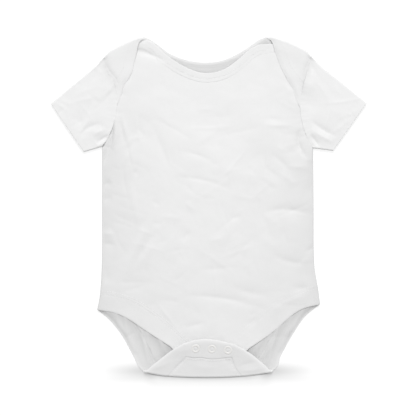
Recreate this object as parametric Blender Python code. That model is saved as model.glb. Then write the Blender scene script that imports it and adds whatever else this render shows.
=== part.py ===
"""A short-sleeved baby bodysuit, laid flat on its back.

+X is the right of the laid-out garment, +Y its neck, +Z up from the surface it lies on. The
origin is on that surface, under the middle of the chest. Every piece of cloth is a wall: its
outer surface is a grid worked out from the garment's outline, extruded inwards by the wall.
Rows of the tables are in millimetres, everything else is in metres.
"""

import math
from bisect import bisect_right
from collections import namedtuple

import bmesh
import bpy
import numpy as np
from mathutils import Vector

MM = 0.001

# Cloth
PANEL_WALL = 1.2 * MM  # jersey of the panels and sleeves
BAND_WALL = 1.6 * MM  # doubled strips round the openings
SEAM_GAP = 0.3 * MM
ON_LINE = 0.002 * MM  # a curve's own points lie this close to its sampled line
WELD = 0.02 * MM
NECK_BAND = 10.5 * MM
LEG_BAND = 20.0 * MM

# Radius of each closed edge, where the cloth turns from the under layer to the upper one
SIDE_ROLL = 2.5 * MM
SLEEVE_CAP_ROLL = 3.0 * MM
SHOULDER_ROLL = 3.5 * MM
CROTCH_ROLL = 3.0 * MM
ROLL_ANGLES = (30, 60, 90)  # degrees round the quarter circle at which it has grid lines
ROLL_SHARE = 0.7  # a rolled edge takes at most this share of its first grid step

# Heights of the upper layers
CAP_REACH = 14 * MM  # how far the sleeve stays thick beside the shoulder flap
SHOULDER_DIP = 0.6 * MM  # the front sinks by this under the shoulder flap
SHOULDER_FLAT = 4 * MM
SHOULDER_DIP_REACH = 20 * MM
FLAP_LIFT = 0.8 * MM  # the shoulder flap rises by this to its free edge
FLAP_LIFT_REACH = 16 * MM
CROTCH_SLOPE = 0.095  # rise of the crotch flap for each metre from its fold
BODY_SWELL = 2.4 * MM  # the front rises by this from its side seams and armholes
SWELL_REACH = {"left": 46 * MM, "right": 16 * MM}
SWELL_RUN = 70 * MM  # and by this run from the neck and the crotch
NECK_END = 150 * MM
CROTCH_END = -140 * MM
SLEEVE_SWELL = 0.5 * MM

# Snaps
SNAP_RADIUS = 4.75 * MM
SNAP_HOLE = 2.6 * MM
SNAP_HEIGHT = 0.9 * MM
SNAP_SEAT = 0.25 * MM
SOCKET_RADIUS = 4.4 * MM
SNAP_SIDES = 16

# Grid steps, shared by pieces that meet so that their edges match
SIDE_COLUMNS = 6
MIDDLE_COLUMNS = 12
ARMHOLE_STEPS = 6
SEAM_STEPS = 4
FRONT_ROWS = 12
BACK_ROWS = 4
SLEEVE_ROWS = 7
FLAP_ROWS = 3
CROTCH_ROWS = 4
PLACKET_COLUMNS = 8
BAND_STEPS = 2

Pair = namedtuple("Pair", "x_left y_left x_right y_right")
Spot = namedtuple("Spot", "x y")
Crease = namedtuple("Crease", "x0 y0 x1 y1 bow width rise")
Roll = namedtuple("Roll", "radius lines inside")
Layer = namedtuple("Layer", "lines height rolls facing")

# From the shoulder tip to the armpit
ARMHOLE = (
    Pair(-115.0, 165.0, 112.8, 166.0),
    Pair(-111.9, 149.2, 109.0, 152.0),
    Pair(-104.6, 138.0, 104.8, 135.5),
    Pair(-102.2, 125.0, 102.2, 118.0),
    Pair(-102.2, 106.0, 102.0, 101.0),
    Pair(-105.2, 88.0, 104.4, 87.0),
    Pair(-110.0, 77.0, 108.4, 76.5),
    Pair(-117.2, 66.0, 115.2, 64.5),
)
# From the armpit to the corner of the leg opening
SIDE_SEAM = (
    Pair(-117.2, 66.0, 115.2, 64.5),
    Pair(-117.3, 0.0, 115.7, 0.0),
    Pair(-117.4, -62.0, 116.4, -62.0),
    Pair(-119.4, -96.0, 121.2, -94.0),
    Pair(-122.6, -113.2, 122.8, -107.2),
)
# The two ends of each cuff, under the arm and at the fold above
CUFF_UNDER = Pair(-137.0, 60.3, 136.8, 61.6)
CUFF_TOP = Pair(-173.4, 113.8, 174.2, 114.4)
# How the fold above each sleeve sags between the shoulder tip and the cuff
SLEEVE_SAG = (
    Pair(-124.0, 155.1, 124.0, 155.1),
    Pair(-149.5, 133.9, 150.0, 134.3),
)
# The fold of each shoulder between the neck point and the shoulder tip
SHOULDER_FOLD = (
    Pair(-92.8, 178.9, 89.4, 178.6),
    Pair(-107.3, 171.1, 106.6, 171.0),
)
# Free edge of each shoulder flap, from the neck point to its tip in the armhole
FLAP_EDGE = (
    Pair(-75.4, 187.0, 66.6, 186.4),
    Pair(-78.7, 173.8, 73.6, 167.9),
    Pair(-82.1, 156.2, 78.6, 155.5),
    Pair(-85.8, 144.7, 84.0, 143.8),
    Pair(-92.3, 133.5, 92.0, 130.1),
    Pair(-100.4, 121.5, 99.6, 117.0),
)
# From the corner of the leg opening to the crotch
BACK_LEG_EDGE = (
    Pair(-122.6, -113.2, 122.8, -107.2),
    Pair(-108.4, -125.2, 106.2, -121.0),
    Pair(-95.2, -141.9, 92.2, -141.4),
    Pair(-82.4, -165.0, 79.4, -164.8),
    Pair(-77.0, -176.0, 76.4, -175.2),
    Pair(-71.0, -181.9, 69.9, -181.9),
)
BACK_LEG_INNER = (
    Pair(-106.0, -100.0, 106.0, -94.5),
    Pair(-86.3, -118.8, 84.5, -117.0),
    Pair(-69.8, -145.4, 67.0, -145.2),
    Pair(-58.5, -168.5, 54.0, -167.5),
)
FRONT_LEG_EDGE = (
    Pair(-122.6, -113.2, 122.8, -107.2),
    Pair(-109.2, -115.2, 112.5, -109.3),
    Pair(-98.7, -118.1, 103.7, -112.0),
    Pair(-86.4, -124.3, 93.2, -118.1),
    Pair(-72.3, -134.0, 68.5, -139.3),
    Pair(-41.0, -154.2, 44.0, -156.0),
)
FRONT_LEG_INNER = (
    Pair(-102.2, -95.3, 105.5, -90.8),
    Pair(-77.6, -104.1, 79.0, -103.0),
    Pair(-51.2, -122.5, 53.0, -124.0),
    Pair(-20.4, -149.6, 22.4, -149.6),
)
# The crotch fold, and the shares of it where the leg bands' inner edges cross it
FOLD_CROSSING = {"left": 0.18, "right": 0.77}
CROTCH_FOLD = (
    Spot(-71.0, -181.9),
    Spot(-46.8, -186.2),
    Spot(-3.9, -187.9),
    Spot(38.0, -186.4),
    Spot(69.9, -181.9),
)
# Free edges of the crotch flap, from the fold to the corners of the placket
CROTCH_EDGE = (
    Pair(-71.0, -181.9, 69.9, -181.9),
    Pair(-54.7, -168.3, 59.7, -171.8),
    Pair(-38.8, -156.0, 45.7, -160.4),
    Pair(-26.8, -149.2, 28.6, -150.4),
)
CROTCH_INNER = (
    Pair(-38.6, -178.6, 29.8, -176.6),
    Pair(-24.6, -163.8, 25.6, -164.6),
)
PLACKET_TOP = (Spot(-26.8, -149.2), Spot(-13.0, -145.3), Spot(4.5, -145.0), Spot(28.6, -150.4))
PLACKET_LOW = (Spot(-24.6, -163.8), Spot(-10.0, -165.4), Spot(10.0, -165.8), Spot(25.6, -164.6))
UNDER_PLACKET_LOW = Pair(-28.0, -165.4, 29.8, -165.8)
BACK_NECK = (
    Spot(-75.4, 187.0),
    Spot(-66.0, 184.4),
    Spot(-55.0, 177.2),
    Spot(-42.0, 167.7),
    Spot(-24.0, 160.5),
    Spot(-4.0, 158.4),
    Spot(16.0, 160.8),
    Spot(34.0, 168.2),
    Spot(48.0, 177.4),
    Spot(57.5, 183.6),
    Spot(66.6, 186.4),
)
FRONT_NECK = (
    Spot(-81.0, 180.4),
    Spot(-72.0, 182.0),
    Spot(-62.2, 179.3),
    Spot(-43.9, 165.6),
    Spot(-24.5, 153.3),
    Spot(-5.0, 147.2),
    Spot(15.5, 150.4),
    Spot(32.0, 160.6),
    Spot(51.0, 175.0),
    Spot(61.0, 178.6),
    Spot(72.6, 179.0),
)
SNAPS = (Spot(-14.1, -155.1), Spot(3.7, -155.6), Spot(21.2, -156.8))

# The largest folds of the front, from end to end: bow is sideways at the middle
FRONT_CREASES = (
    Crease(-26, -99, 59, -109, 3, 7, -1.3),
    Crease(-22, -109, 62, -119, 3, 8, 0.7),
    Crease(18, -84, 72, -101, -4, 8, 0.8),
    Crease(66, -4, 108, -2, 2, 7, -1.2),
    Crease(64, -14, 108, -14, 2, 8, 0.6),
    Crease(68, -54, 109, -62, -2, 8, -1.2),
    Crease(84, -88, 112, -88, 0, 7, -0.9),
    Crease(54, 48, 90, 14, 3, 9, -0.6),
    Crease(99, 86, 102, 56, 2, 7, -1.3),
    Crease(-96, 88, -109, 42, 4, 8, 0.7),
    Crease(-86, 88, -100, 40, 4, 8, -0.7),
    Crease(-104, 18, -98, -18, 0, 16, -1.1),
    Crease(-112, -30, -104, -48, 0, 9, -0.9),
    Crease(-48, -9, -86, -74, -5, 11, -0.7),
    Crease(-34, -4, -70, -66, -5, 10, 0.5),
    Crease(-37, 32, 59, 4, 4, 8, 0.5),
    Crease(-62, 85, -40, 41, 3, 9, 0.5),
    Crease(-22, -70, 28, -64, -2, 8, -0.7),
    Crease(0, 76, 92, 89, -5, 7, -0.7),
)
SLEEVE_CREASES = {
    "left": (Crease(-141, 73, -114, 91, 4, 8, -1.2), Crease(-131, 74, -114, 80, 2, 6, 0.6)),
    "right": (Crease(112, 95, 145, 74, -3, 7, -1.2), Crease(117, 82, 138, 72, -2, 7, 0.7)),
}
CREASE_CLEAR = 9 * MM  # folds die out this far from a closed edge

WHITE_COTTON = (0.86, 0.86, 0.86, 1.0)
WHITE_RIB = (0.90, 0.90, 0.90, 1.0)
WHITE_ENAMEL = (0.93, 0.93, 0.92, 1.0)


# ---------------------------------------------------------------- curves in plan


def spots(table):
    return [Vector((row.x, row.y)) * MM for row in table]


def one_side(table, side):
    """The points of one side of a table of pairs."""
    if side == "left":
        return [Vector((row.x_left, row.y_left)) * MM for row in table]
    return [Vector((row.x_right, row.y_right)) * MM for row in table]


def path(points):
    """A smooth curve through the points, as a function of 0 to 1 along it."""
    knots = [0.0]
    for start, end in zip(points, points[1:]):
        knots.append(knots[-1] + (end - start).length)
    last = len(points) - 1
    slopes = []
    for k in range(last + 1):
        low, high = max(k - 1, 0), min(k + 1, last)
        slopes.append((points[high] - points[low]) / (knots[high] - knots[low]))

    def at(share):
        place = min(max(share, 0.0), 1.0) * knots[-1]
        k = min(bisect_right(knots, place) - 1, last - 1)
        span = knots[k + 1] - knots[k]
        t = (place - knots[k]) / span
        rise = t * t * (3 - 2 * t)
        leave = t * (1 - t) ** 2 * span
        arrive = t * t * (t - 1) * span
        return points[k].lerp(points[k + 1], rise) + slopes[k] * leave + slopes[k + 1] * arrive

    return at


def part_of(curve, start, end):
    """The stretch of a curve between two shares of it."""
    return lambda share: curve(start + (end - start) * share)


def backwards(curve):
    return lambda share: curve(1 - share)


def straight(start, end):
    return lambda share: start.lerp(end, share)


def chain(curves, breaks):
    """Curves end to end, each filling its own stretch between the breaks."""
    marks = [0.0, *breaks, 1.0]

    def at(share):
        k = min(bisect_right(marks, share) - 1, len(curves) - 1)
        return curves[k]((share - marks[k]) / (marks[k + 1] - marks[k]))

    return at


def inset(points, width):
    """The points moved sideways by width: to the right of the way they run where it is positive."""
    moved = []
    for k, point in enumerate(points):
        run = points[min(k + 1, len(points) - 1)] - points[max(k - 1, 0)]
        moved.append(point + Vector((run.y, -run.x)).normalized() * width)
    return moved


def sampled(curve, steps=400):
    return np.array([curve(k / steps) for k in range(steps + 1)])


def nearest(point, line):
    """How far the point lies from a line of points, and the way there, at right angles to it."""
    start, run = line[:-1], np.diff(line, axis=0)
    offset = np.array(point) - start
    share = np.clip((offset * run).sum(axis=1) / (run * run).sum(axis=1), 0, 1)
    gaps = offset - run * share[:, None]
    lengths = np.linalg.norm(gaps, axis=1)
    k = int(lengths.argmin())
    if lengths[k] < ON_LINE:
        return 0.0, Vector((run[k][1], -run[k][0])).normalized()
    return float(lengths[k]), Vector(-gaps[k]).normalized()


def distance(point, line):
    return nearest(point, line)[0]


# ---------------------------------------------------------------- the outline


SIDES = ("left", "right")
INWARD = {"left": 1, "right": -1}  # sign of X from a side towards the middle

armhole = {side: path(one_side(ARMHOLE, side)) for side in SIDES}
side_seam = {side: path(one_side(SIDE_SEAM, side)) for side in SIDES}
flap_edge = {side: path(one_side(FLAP_EDGE, side)) for side in SIDES}
back_leg_edge = {side: path(one_side(BACK_LEG_EDGE, side)) for side in SIDES}
front_leg_edge = {side: path(one_side(FRONT_LEG_EDGE, side)) for side in SIDES}
crotch_edge = {side: path(one_side(CROTCH_EDGE, side)) for side in SIDES}
crotch_fold = path(spots(CROTCH_FOLD))
crossing = {side: crotch_fold(FOLD_CROSSING[side]) for side in SIDES}
crotch_inner = {side: path([crossing[side], *one_side(CROTCH_INNER, side)]) for side in SIDES}
shoulder_tip = {side: armhole[side](0) for side in SIDES}
neck_point = {side: flap_edge[side](0) for side in SIDES}
shoulder_fold = {
    side: path([neck_point[side], *one_side(SHOULDER_FOLD, side), shoulder_tip[side]])
    for side in SIDES
}

seam_lines = {side: sampled(side_seam[side]) for side in SIDES}
shoulder_lines = {side: sampled(shoulder_fold[side]) for side in SIDES}
flank_lines = {side: np.vstack([sampled(armhole[side]), seam_lines[side][1:]]) for side in SIDES}
fold_line = sampled(crotch_fold)
CENTRE = Vector((0, 0))
side_roll = Roll(SIDE_ROLL, list(seam_lines.values()), CENTRE)
shoulder_roll = Roll(SHOULDER_ROLL, list(shoulder_lines.values()), CENTRE)
crotch_roll = Roll(CROTCH_ROLL, [fold_line], CENTRE)
body_rolls = (side_roll, shoulder_roll, crotch_roll)
armhole_caps = {side: sampled(part_of(armhole[side], 0, 0.42), 6) for side in SIDES}


def length_of(line):
    return float(np.linalg.norm(np.diff(line, axis=0), axis=1).sum())


def band_top(side):
    """Where the leg band ends on the side seam."""
    return 1 - LEG_BAND / length_of(seam_lines[side])


def leg_inner(side, points):
    return path([side_seam[side](band_top(side)), *points])


back_leg_inner = {
    side: leg_inner(side, [*one_side(BACK_LEG_INNER, side), crossing[side]]) for side in SIDES
}
front_leg_inner = {side: leg_inner(side, one_side(FRONT_LEG_INNER, side)) for side in SIDES}


def band_crossing(side):
    """The length of the shoulder fold that the neck band takes where it crosses it."""
    edge = (flap_edge[side](0.1) - neck_point[side]).normalized()
    fold = (shoulder_fold[side](0.1) - neck_point[side]).normalized()
    return NECK_BAND / abs(edge.cross(fold))


corner_share = {side: band_crossing(side) / length_of(shoulder_lines[side]) for side in SIDES}
fold_corner = {side: shoulder_fold[side](corner_share[side]) for side in SIDES}
band_fold = {side: part_of(shoulder_fold[side], 0, corner_share[side]) for side in SIDES}
panel_fold = {side: part_of(shoulder_fold[side], 1, corner_share[side]) for side in SIDES}
FLAP_TIP_SHARE = 0.26  # share of the armhole beside the flap's panel
FLAP_END_SHARE = 0.93  # share of the band's inner edge beside it
flap_tip = {side: armhole[side](FLAP_TIP_SHARE + 0.03) for side in SIDES}


def flap_inner(side):
    """Inner edge of the neck band on a shoulder flap."""
    offset = inset(one_side(FLAP_EDGE, side), NECK_BAND * INWARD[side])
    return path([fold_corner[side], *offset[1:4], flap_tip[side]])


def neck_inner(table, left_end, right_end):
    offset = inset(spots(table), NECK_BAND)
    return path([left_end, *offset[1:-1], right_end])


def hidden_corner(side):
    """Where the front's neck band ends, inside the shoulder fold."""
    end = spots(FRONT_NECK)[0 if side == "left" else -1]
    run = (shoulder_tip[side] - neck_point[side]).normalized()
    return end + run * band_crossing(side)


FRONT_TOP_SHARE = 0.03  # the front's armhole starts this far down, inside the shoulder fold
flap_inners = {side: flap_inner(side) for side in SIDES}
back_neck = path(spots(BACK_NECK))
front_neck = path(spots(FRONT_NECK))
back_neck_inner = neck_inner(BACK_NECK, fold_corner["left"], fold_corner["right"])
front_neck_inner = neck_inner(FRONT_NECK, hidden_corner("left"), hidden_corner("right"))


# ---------------------------------------------------------------- heights of the layers


def smooth(value):
    value = min(max(value, 0.0), 1.0)
    return value * value * (3 - 2 * value)


def turned(reach, radius):
    """0 at a closed edge, 1 a radius inside it, along a quarter circle."""
    share = min(reach / radius, 1.0)
    return math.sqrt(1 - (1 - share) ** 2)


def lower(reach, radius, gap=0.0):
    """Height of the under layer near a closed edge."""
    return (radius - gap / 2) * (1 - turned(reach, radius))


def upper(reach, radius, gap=0.0):
    """Height of the upper layer near a closed edge."""
    return radius + gap / 2 + (radius - gap / 2) * turned(reach, radius)


def crease_rise(creases, point):
    """What the folds add at a point: each is a soft ridge or trough along a bowed line."""
    total = 0.0
    for crease in creases:
        start = Vector((crease.x0, crease.y0)) * MM
        run = Vector((crease.x1, crease.y1)) * MM - start
        share = (point - start).dot(run) / run.length_squared
        if not 0 < share < 1:
            continue
        aside = (point - start).cross(run) / run.length
        aside -= crease.bow * MM * math.sin(math.pi * share)
        along = math.sin(math.pi * share) ** 0.7
        total += crease.rise * MM * along * math.exp(-((aside / (crease.width * MM)) ** 2))
    return total


def side_reach(point):
    return min(distance(point, seam_lines[side]) for side in SIDES)


def shoulder_reach(point):
    return min(distance(point, shoulder_lines[side]) for side in SIDES)


def back_height(point):
    return max(
        lower(side_reach(point), SIDE_ROLL, SEAM_GAP),
        lower(shoulder_reach(point), SHOULDER_ROLL),
        lower(distance(point, fold_line), CROTCH_ROLL),
    )


def body_swell(point):
    """The air under the front: full in the middle, none at the neck, sides and crotch."""
    rise = BODY_SWELL * smooth((NECK_END - point.y) / SWELL_RUN)
    rise *= smooth((point.y - CROTCH_END) / SWELL_RUN)
    for side in SIDES:
        rise *= smooth(distance(point, flank_lines[side]) / SWELL_REACH[side])
    return rise


def front_height(point):
    reach = side_reach(point)
    inside = (shoulder_reach(point) - SHOULDER_FLAT) / SHOULDER_DIP_REACH
    dip = SHOULDER_DIP * (1 - smooth(inside))
    folds = crease_rise(FRONT_CREASES, point) * smooth(reach / CREASE_CLEAR)
    return upper(reach, SIDE_ROLL, SEAM_GAP) - dip + body_swell(point) + folds


def shoulder_flap_height(point):
    reach = shoulder_reach(point)
    lift = FLAP_LIFT * smooth((reach - SHOULDER_FLAT) / FLAP_LIFT_REACH)
    return upper(reach, SHOULDER_ROLL) + lift


def crotch_flap_height(point):
    reach = distance(point, fold_line)
    return upper(reach, CROTCH_ROLL) + CROTCH_SLOPE * max(reach - CROTCH_ROLL, 0.0)


def sleeve_hole(side):
    """The sleeve's own armhole edge, from the armpit up, a seam's gap outside the body's.

    The gap doubles at the shoulder, where the folds of body and sleeve turn apart.
    """
    hole = backwards(armhole[side])
    return lambda share: hole(share) - Vector((INWARD[side] * SEAM_GAP * (1 + share**6), 0))


def sleeve_folds(side):
    """The closed edges of a sleeve, from armhole to cuff: under the arm and above it."""
    hole = sleeve_hole(side)
    under = path([hole(0), *one_side([CUFF_UNDER], side)])
    above = path([hole(1), *one_side([*SLEEVE_SAG, CUFF_TOP], side)])
    return under, above


def sleeve_radius(point, side):
    near_cap = math.exp(-((distance(point, armhole_caps[side]) / CAP_REACH) ** 2))
    return SIDE_ROLL + (SLEEVE_CAP_ROLL - SIDE_ROLL) * near_cap


def sleeve_heights(side):
    """The under and the upper layer of one sleeve, as two functions."""
    edges = [sampled(fold) for fold in sleeve_folds(side)]

    def reach(point):
        return min(distance(point, edge) for edge in edges)

    def low(point):
        return lower(reach(point), sleeve_radius(point, side))

    def high(point):
        inside = reach(point)
        folds = crease_rise(SLEEVE_CREASES[side], point) * smooth(inside / CREASE_CLEAR)
        swell = SLEEVE_SWELL * smooth(inside / (25 * MM))
        return upper(inside, sleeve_radius(point, side)) + swell + folds

    return low, high


# ---------------------------------------------------------------- sheets


def coons(bottom, top, left, right):
    """A patch in plan between four curves, as a function of its column and row shares."""
    corners = (bottom(0), bottom(1), top(0), top(1))

    def at(u, v):
        ruled = bottom(u).lerp(top(u), v) + left(v).lerp(right(v), u)
        return ruled - corners[0].lerp(corners[1], u).lerp(corners[2].lerp(corners[3], u), v)

    return at


def shares(*runs):
    """Grid shares: each run is (steps, end), with even steps up to its end."""
    marks = [0.0]
    for steps, end in runs:
        start = marks[-1]
        marks += [start + (end - start) * (k + 1) / steps for k in range(steps)]
    return marks


def roll_steps(line, roll, patch):
    """Extra shares after the first of a line: round the edge where it is closed, else even."""
    start = patch(*line[0])
    length = (patch(*line[1]) - start).length
    reach = min(roll.radius / length, ROLL_SHARE)
    if min(distance(start, edge) for edge in roll.lines) == 0:
        steps = [1 - math.cos(math.radians(angle)) for angle in ROLL_ANGLES]
    else:
        steps = shares((len(ROLL_ANGLES), 1))[1:]
    return [line[0], *(line[0].lerp(line[1], reach * step) for step in steps), *line[1:]]


def plan(patch, columns, rows, rolls=None):
    """Rows of plan points of a patch, with extra ones along its rolled edges.

    Under "corners", rolls names columns that get extra ones before and after them.
    """
    lines = [[Vector((u, v)) for u in columns] for v in rows]
    rolls = rolls or {}
    for column, (before, after) in sorted(rolls.get("corners", {}).items(), reverse=True):
        for line in lines:
            first = roll_steps(line[column::-1], before, patch)[::-1]
            line[:] = first + roll_steps(line[column:], after, patch)[1:]
    if "left" in rolls:
        lines = [roll_steps(line, rolls["left"], patch) for line in lines]
    if "right" in rolls:
        lines = [roll_steps(line[::-1], rolls["right"], patch)[::-1] for line in lines]
    turned_lines = [list(column) for column in zip(*lines)]
    if "bottom" in rolls:
        turned_lines = [roll_steps(line, rolls["bottom"], patch) for line in turned_lines]
    if "top" in rolls:
        turned_lines = [roll_steps(line[::-1], rolls["top"], patch)[::-1] for line in turned_lines]
    return [[patch(*place) for place in line] for line in zip(*turned_lines)]


def outwards(point, rolls, facing):
    """The outer surface's direction: flat on its side of the garment, level at a closed edge."""
    closest, level = 1.0, None
    for roll in rolls:
        for line in roll.lines:
            reach, way = nearest(point, line)
            if reach < closest * roll.radius:
                closest = reach / roll.radius
                level = way if way.dot(point - roll.inside) > 0 else -way
    if level is None:
        return Vector((0, 0, facing))
    lean = math.sqrt(1 - (1 - closest) ** 2)
    return Vector((*(level * (1 - closest)), lean * facing))


def add_layer(mesh, layer, wall):
    """Lays a grid on the layer's outer surface, each vertex also holding its inner place."""
    across, along = len(layer.lines[0]) - 1, len(layer.lines) - 1
    made = bmesh.ops.create_grid(mesh, x_segments=across, y_segments=along, size=1)
    inner = mesh.verts.layers.float_vector["inner"]
    for vert in made["verts"]:
        column = round((vert.co.x + 1) / 2 * across)
        row = round((vert.co.y + 1) / 2 * along)
        point = layer.lines[row][column]
        vert.co = (point.x, point.y, layer.height(point))
        vert[inner] = vert.co - outwards(point, layer.rolls, layer.facing) * wall
    faces = list({face for vert in made["verts"] for face in vert.link_faces})
    for face in faces:
        face.normal_update()
    if sum(face.normal.z * face.calc_area() for face in faces) * layer.facing < 0:
        bmesh.ops.reverse_faces(mesh, faces=faces)


def material(name, colour, roughness):
    made = bpy.data.materials.new(name)
    made.use_nodes = True
    shader = made.node_tree.nodes["Principled BSDF"]
    shader.inputs["Base Color"].default_value = colour
    shader.inputs["Roughness"].default_value = roughness
    made.diffuse_color = colour
    return made


def keep(name, mesh, finish):
    """Makes an object of a finished bmesh."""
    data = bpy.data.meshes.new(name)
    mesh.to_mesh(data)
    mesh.free()
    data.materials.append(finish)
    data.shade_smooth()
    made = bpy.data.objects.new(name, data)
    bpy.context.scene.collection.objects.link(made)
    return made


def cloth(name, layers, wall, finish):
    """A piece of cloth: its layers are welded where they meet and extruded inwards."""
    mesh = bmesh.new()
    inner = mesh.verts.layers.float_vector.new("inner")
    for layer in layers:
        add_layer(mesh, layer, wall)
    bmesh.ops.remove_doubles(mesh, verts=mesh.verts, dist=WELD)
    made = bmesh.ops.extrude_face_region(mesh, geom=mesh.faces[:], use_keep_orig=True)
    for vert in made["geom"]:
        if isinstance(vert, bmesh.types.BMVert):
            vert.co = vert[inner]
    bmesh.ops.recalc_face_normals(mesh, faces=mesh.faces[:])
    mesh.verts.layers.float_vector.remove(inner)
    return keep(name, mesh, finish)


def strip(edge, inner, width, start=None, end=None):
    """A band in plan between its free edge and its inner edge, a seam's gap short of it."""
    start = start or straight(edge(0), inner(0))
    end = end or straight(edge(1), inner(1))
    patch = coons(edge, inner, start, end)
    reach = 1 - SEAM_GAP / width
    return lambda u, v: patch(u, v * reach)


# ---------------------------------------------------------------- panels


BREAKS = (0.3, 0.7)
ARMHOLE_MARKS = shares((FLAP_ROWS, FLAP_TIP_SHARE), (ARMHOLE_STEPS, 1))
BODY_COLUMNS = shares((SIDE_COLUMNS, BREAKS[0]), (MIDDLE_COLUMNS, BREAKS[1]), (SIDE_COLUMNS, 1))
SEAM_BEND = 0.15  # share of a panel's rows below which its side seam bends
ARMPIT_SHARE = 0.6


def body_side(side, top_share):
    """One side of a body panel: side seam from the leg band up, then the armhole."""
    seam = backwards(part_of(side_seam[side], 0, band_top(side)))
    hole = backwards(part_of(armhole[side], top_share, 1))
    return chain([seam, hole], [ARMPIT_SHARE])


def body_rows(steps, top_share):
    """Row shares of a body panel, at the armhole's own marks above the armpit."""
    rows = shares((SEAM_STEPS, SEAM_BEND), (steps, ARMPIT_SHARE))
    for mark in ARMHOLE_MARKS[-2::-1]:
        share = (max(mark, top_share) - top_share) / (1 - top_share)
        rows.append(ARMPIT_SHARE + (1 - ARMPIT_SHARE) * (1 - share))
    return rows


def back_panel(finish):
    bottom = chain(
        [
            back_leg_inner["left"],
            part_of(crotch_fold, FOLD_CROSSING["left"], FOLD_CROSSING["right"]),
            backwards(back_leg_inner["right"]),
        ],
        BREAKS,
    )
    top = chain(
        [
            panel_fold["left"],
            back_neck_inner,
            backwards(panel_fold["right"]),
        ],
        BREAKS,
    )
    patch = coons(bottom, top, body_side("left", 0), body_side("right", 0))
    rows = body_rows(BACK_ROWS, 0)
    rolls = {"left": side_roll, "right": side_roll, "bottom": crotch_roll, "top": shoulder_roll}
    rolls["corners"] = {
        SIDE_COLUMNS: (crotch_roll, shoulder_roll),
        SIDE_COLUMNS + MIDDLE_COLUMNS: (shoulder_roll, crotch_roll),
    }
    layers = [Layer(plan(patch, BODY_COLUMNS, rows, rolls), back_height, body_rolls, -1)]
    for side in SIDES:
        layers.append(Layer(shoulder_flap(side), shoulder_flap_height, [shoulder_roll], 1))
    layers.append(Layer(crotch_flap(), crotch_flap_height, [crotch_roll], 1))
    return cloth("back_panel", layers, PANEL_WALL, finish)


def shoulder_flap(side):
    """The panel's part of a shoulder flap, from the fold to the flap's tip."""
    hole = part_of(armhole[side], 0, FLAP_TIP_SHARE)
    band = part_of(flap_inners[side], 0, FLAP_END_SHARE)
    patch = coons(panel_fold[side], straight(hole(1), band(1)), hole, band)
    columns = shares((SIDE_COLUMNS, 1))
    rows = shares((FLAP_ROWS, 1))
    rolls = {"left": side_roll, "right": crotch_roll, "bottom": shoulder_roll}
    return plan(patch, columns, rows, rolls)


def crotch_flap():
    """The panel's part of the crotch flap, from the fold to the placket."""
    fold = part_of(crotch_fold, FOLD_CROSSING["left"], FOLD_CROSSING["right"])
    patch = coons(fold, path(spots(PLACKET_LOW)), crotch_inner["left"], crotch_inner["right"])
    rows = shares((CROTCH_ROWS, 1))
    rolls = {"left": shoulder_roll, "right": shoulder_roll, "bottom": crotch_roll}
    return plan(patch, shares((MIDDLE_COLUMNS, 1)), rows, rolls)


def front_panel(finish):
    bottom = chain(
        [
            front_leg_inner["left"],
            straight(front_leg_inner["left"](1), front_leg_inner["right"](1)),
            backwards(front_leg_inner["right"]),
        ],
        BREAKS,
    )
    left, right = body_side("left", FRONT_TOP_SHARE), body_side("right", FRONT_TOP_SHARE)
    top = chain(
        [
            straight(left(1), hidden_corner("left")),
            front_neck_inner,
            straight(hidden_corner("right"), right(1)),
        ],
        BREAKS,
    )
    patch = coons(bottom, top, left, right)
    rows = body_rows(FRONT_ROWS, FRONT_TOP_SHARE)
    lines = plan(patch, BODY_COLUMNS, rows, {"left": side_roll, "right": side_roll})
    layer = Layer(lines, front_height, [side_roll], 1)
    return cloth("front_panel", [layer], PANEL_WALL, finish)


def sleeve(side, finish):
    """One sleeve: a flattened tube, folded above and sewn under the arm."""
    hole = sleeve_hole(side)
    cuff_under, cuff_top = one_side([CUFF_UNDER, CUFF_TOP], side)
    folds = sleeve_folds(side)
    patch = coons(hole, straight(cuff_under, cuff_top), *folds)
    columns = [1 - mark for mark in reversed(ARMHOLE_MARKS)]
    rows = shares((SLEEVE_ROWS, 1))
    edges = [sampled(fold) for fold in folds]
    under = Roll(SIDE_ROLL, edges, patch(0.5, 0.5))
    above = Roll(SLEEVE_CAP_ROLL, edges, patch(0.5, 0.5))
    lines = plan(patch, columns, rows, {"left": under, "right": above})
    low, high = sleeve_heights(side)
    layers = [Layer(lines, low, [under], -1), Layer(lines, high, [under], 1)]
    return cloth("sleeve_" + side, layers, PANEL_WALL, finish)


# ---------------------------------------------------------------- bands


def neck_bands(finish):
    rows = shares((BAND_STEPS, 1))
    front = strip(front_neck, front_neck_inner, NECK_BAND)
    lines = plan(front, shares((MIDDLE_COLUMNS, 1)), rows)
    cloth("neck_band_front", [Layer(lines, front_height, [], 1)], BAND_WALL, finish)
    ends = band_fold["left"], band_fold["right"]
    back = strip(back_neck, back_neck_inner, NECK_BAND, *ends)
    rolls = {"left": shoulder_roll, "right": shoulder_roll}
    lines = plan(back, shares((MIDDLE_COLUMNS, 1)), rows, rolls)
    layers = [Layer(lines, back_height, [shoulder_roll], -1)]
    for side in SIDES:
        edge = part_of(flap_edge[side], 0, FLAP_END_SHARE)
        inner = part_of(flap_inners[side], 0, FLAP_END_SHARE)
        flap = strip(edge, inner, NECK_BAND, start=band_fold[side])
        lines = plan(flap, shares((FLAP_ROWS, 1)), rows, {"left": shoulder_roll})
        layers.append(Layer(lines, shoulder_flap_height, [shoulder_roll], 1))
    cloth("neck_band_back", layers, BAND_WALL, finish)


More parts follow.
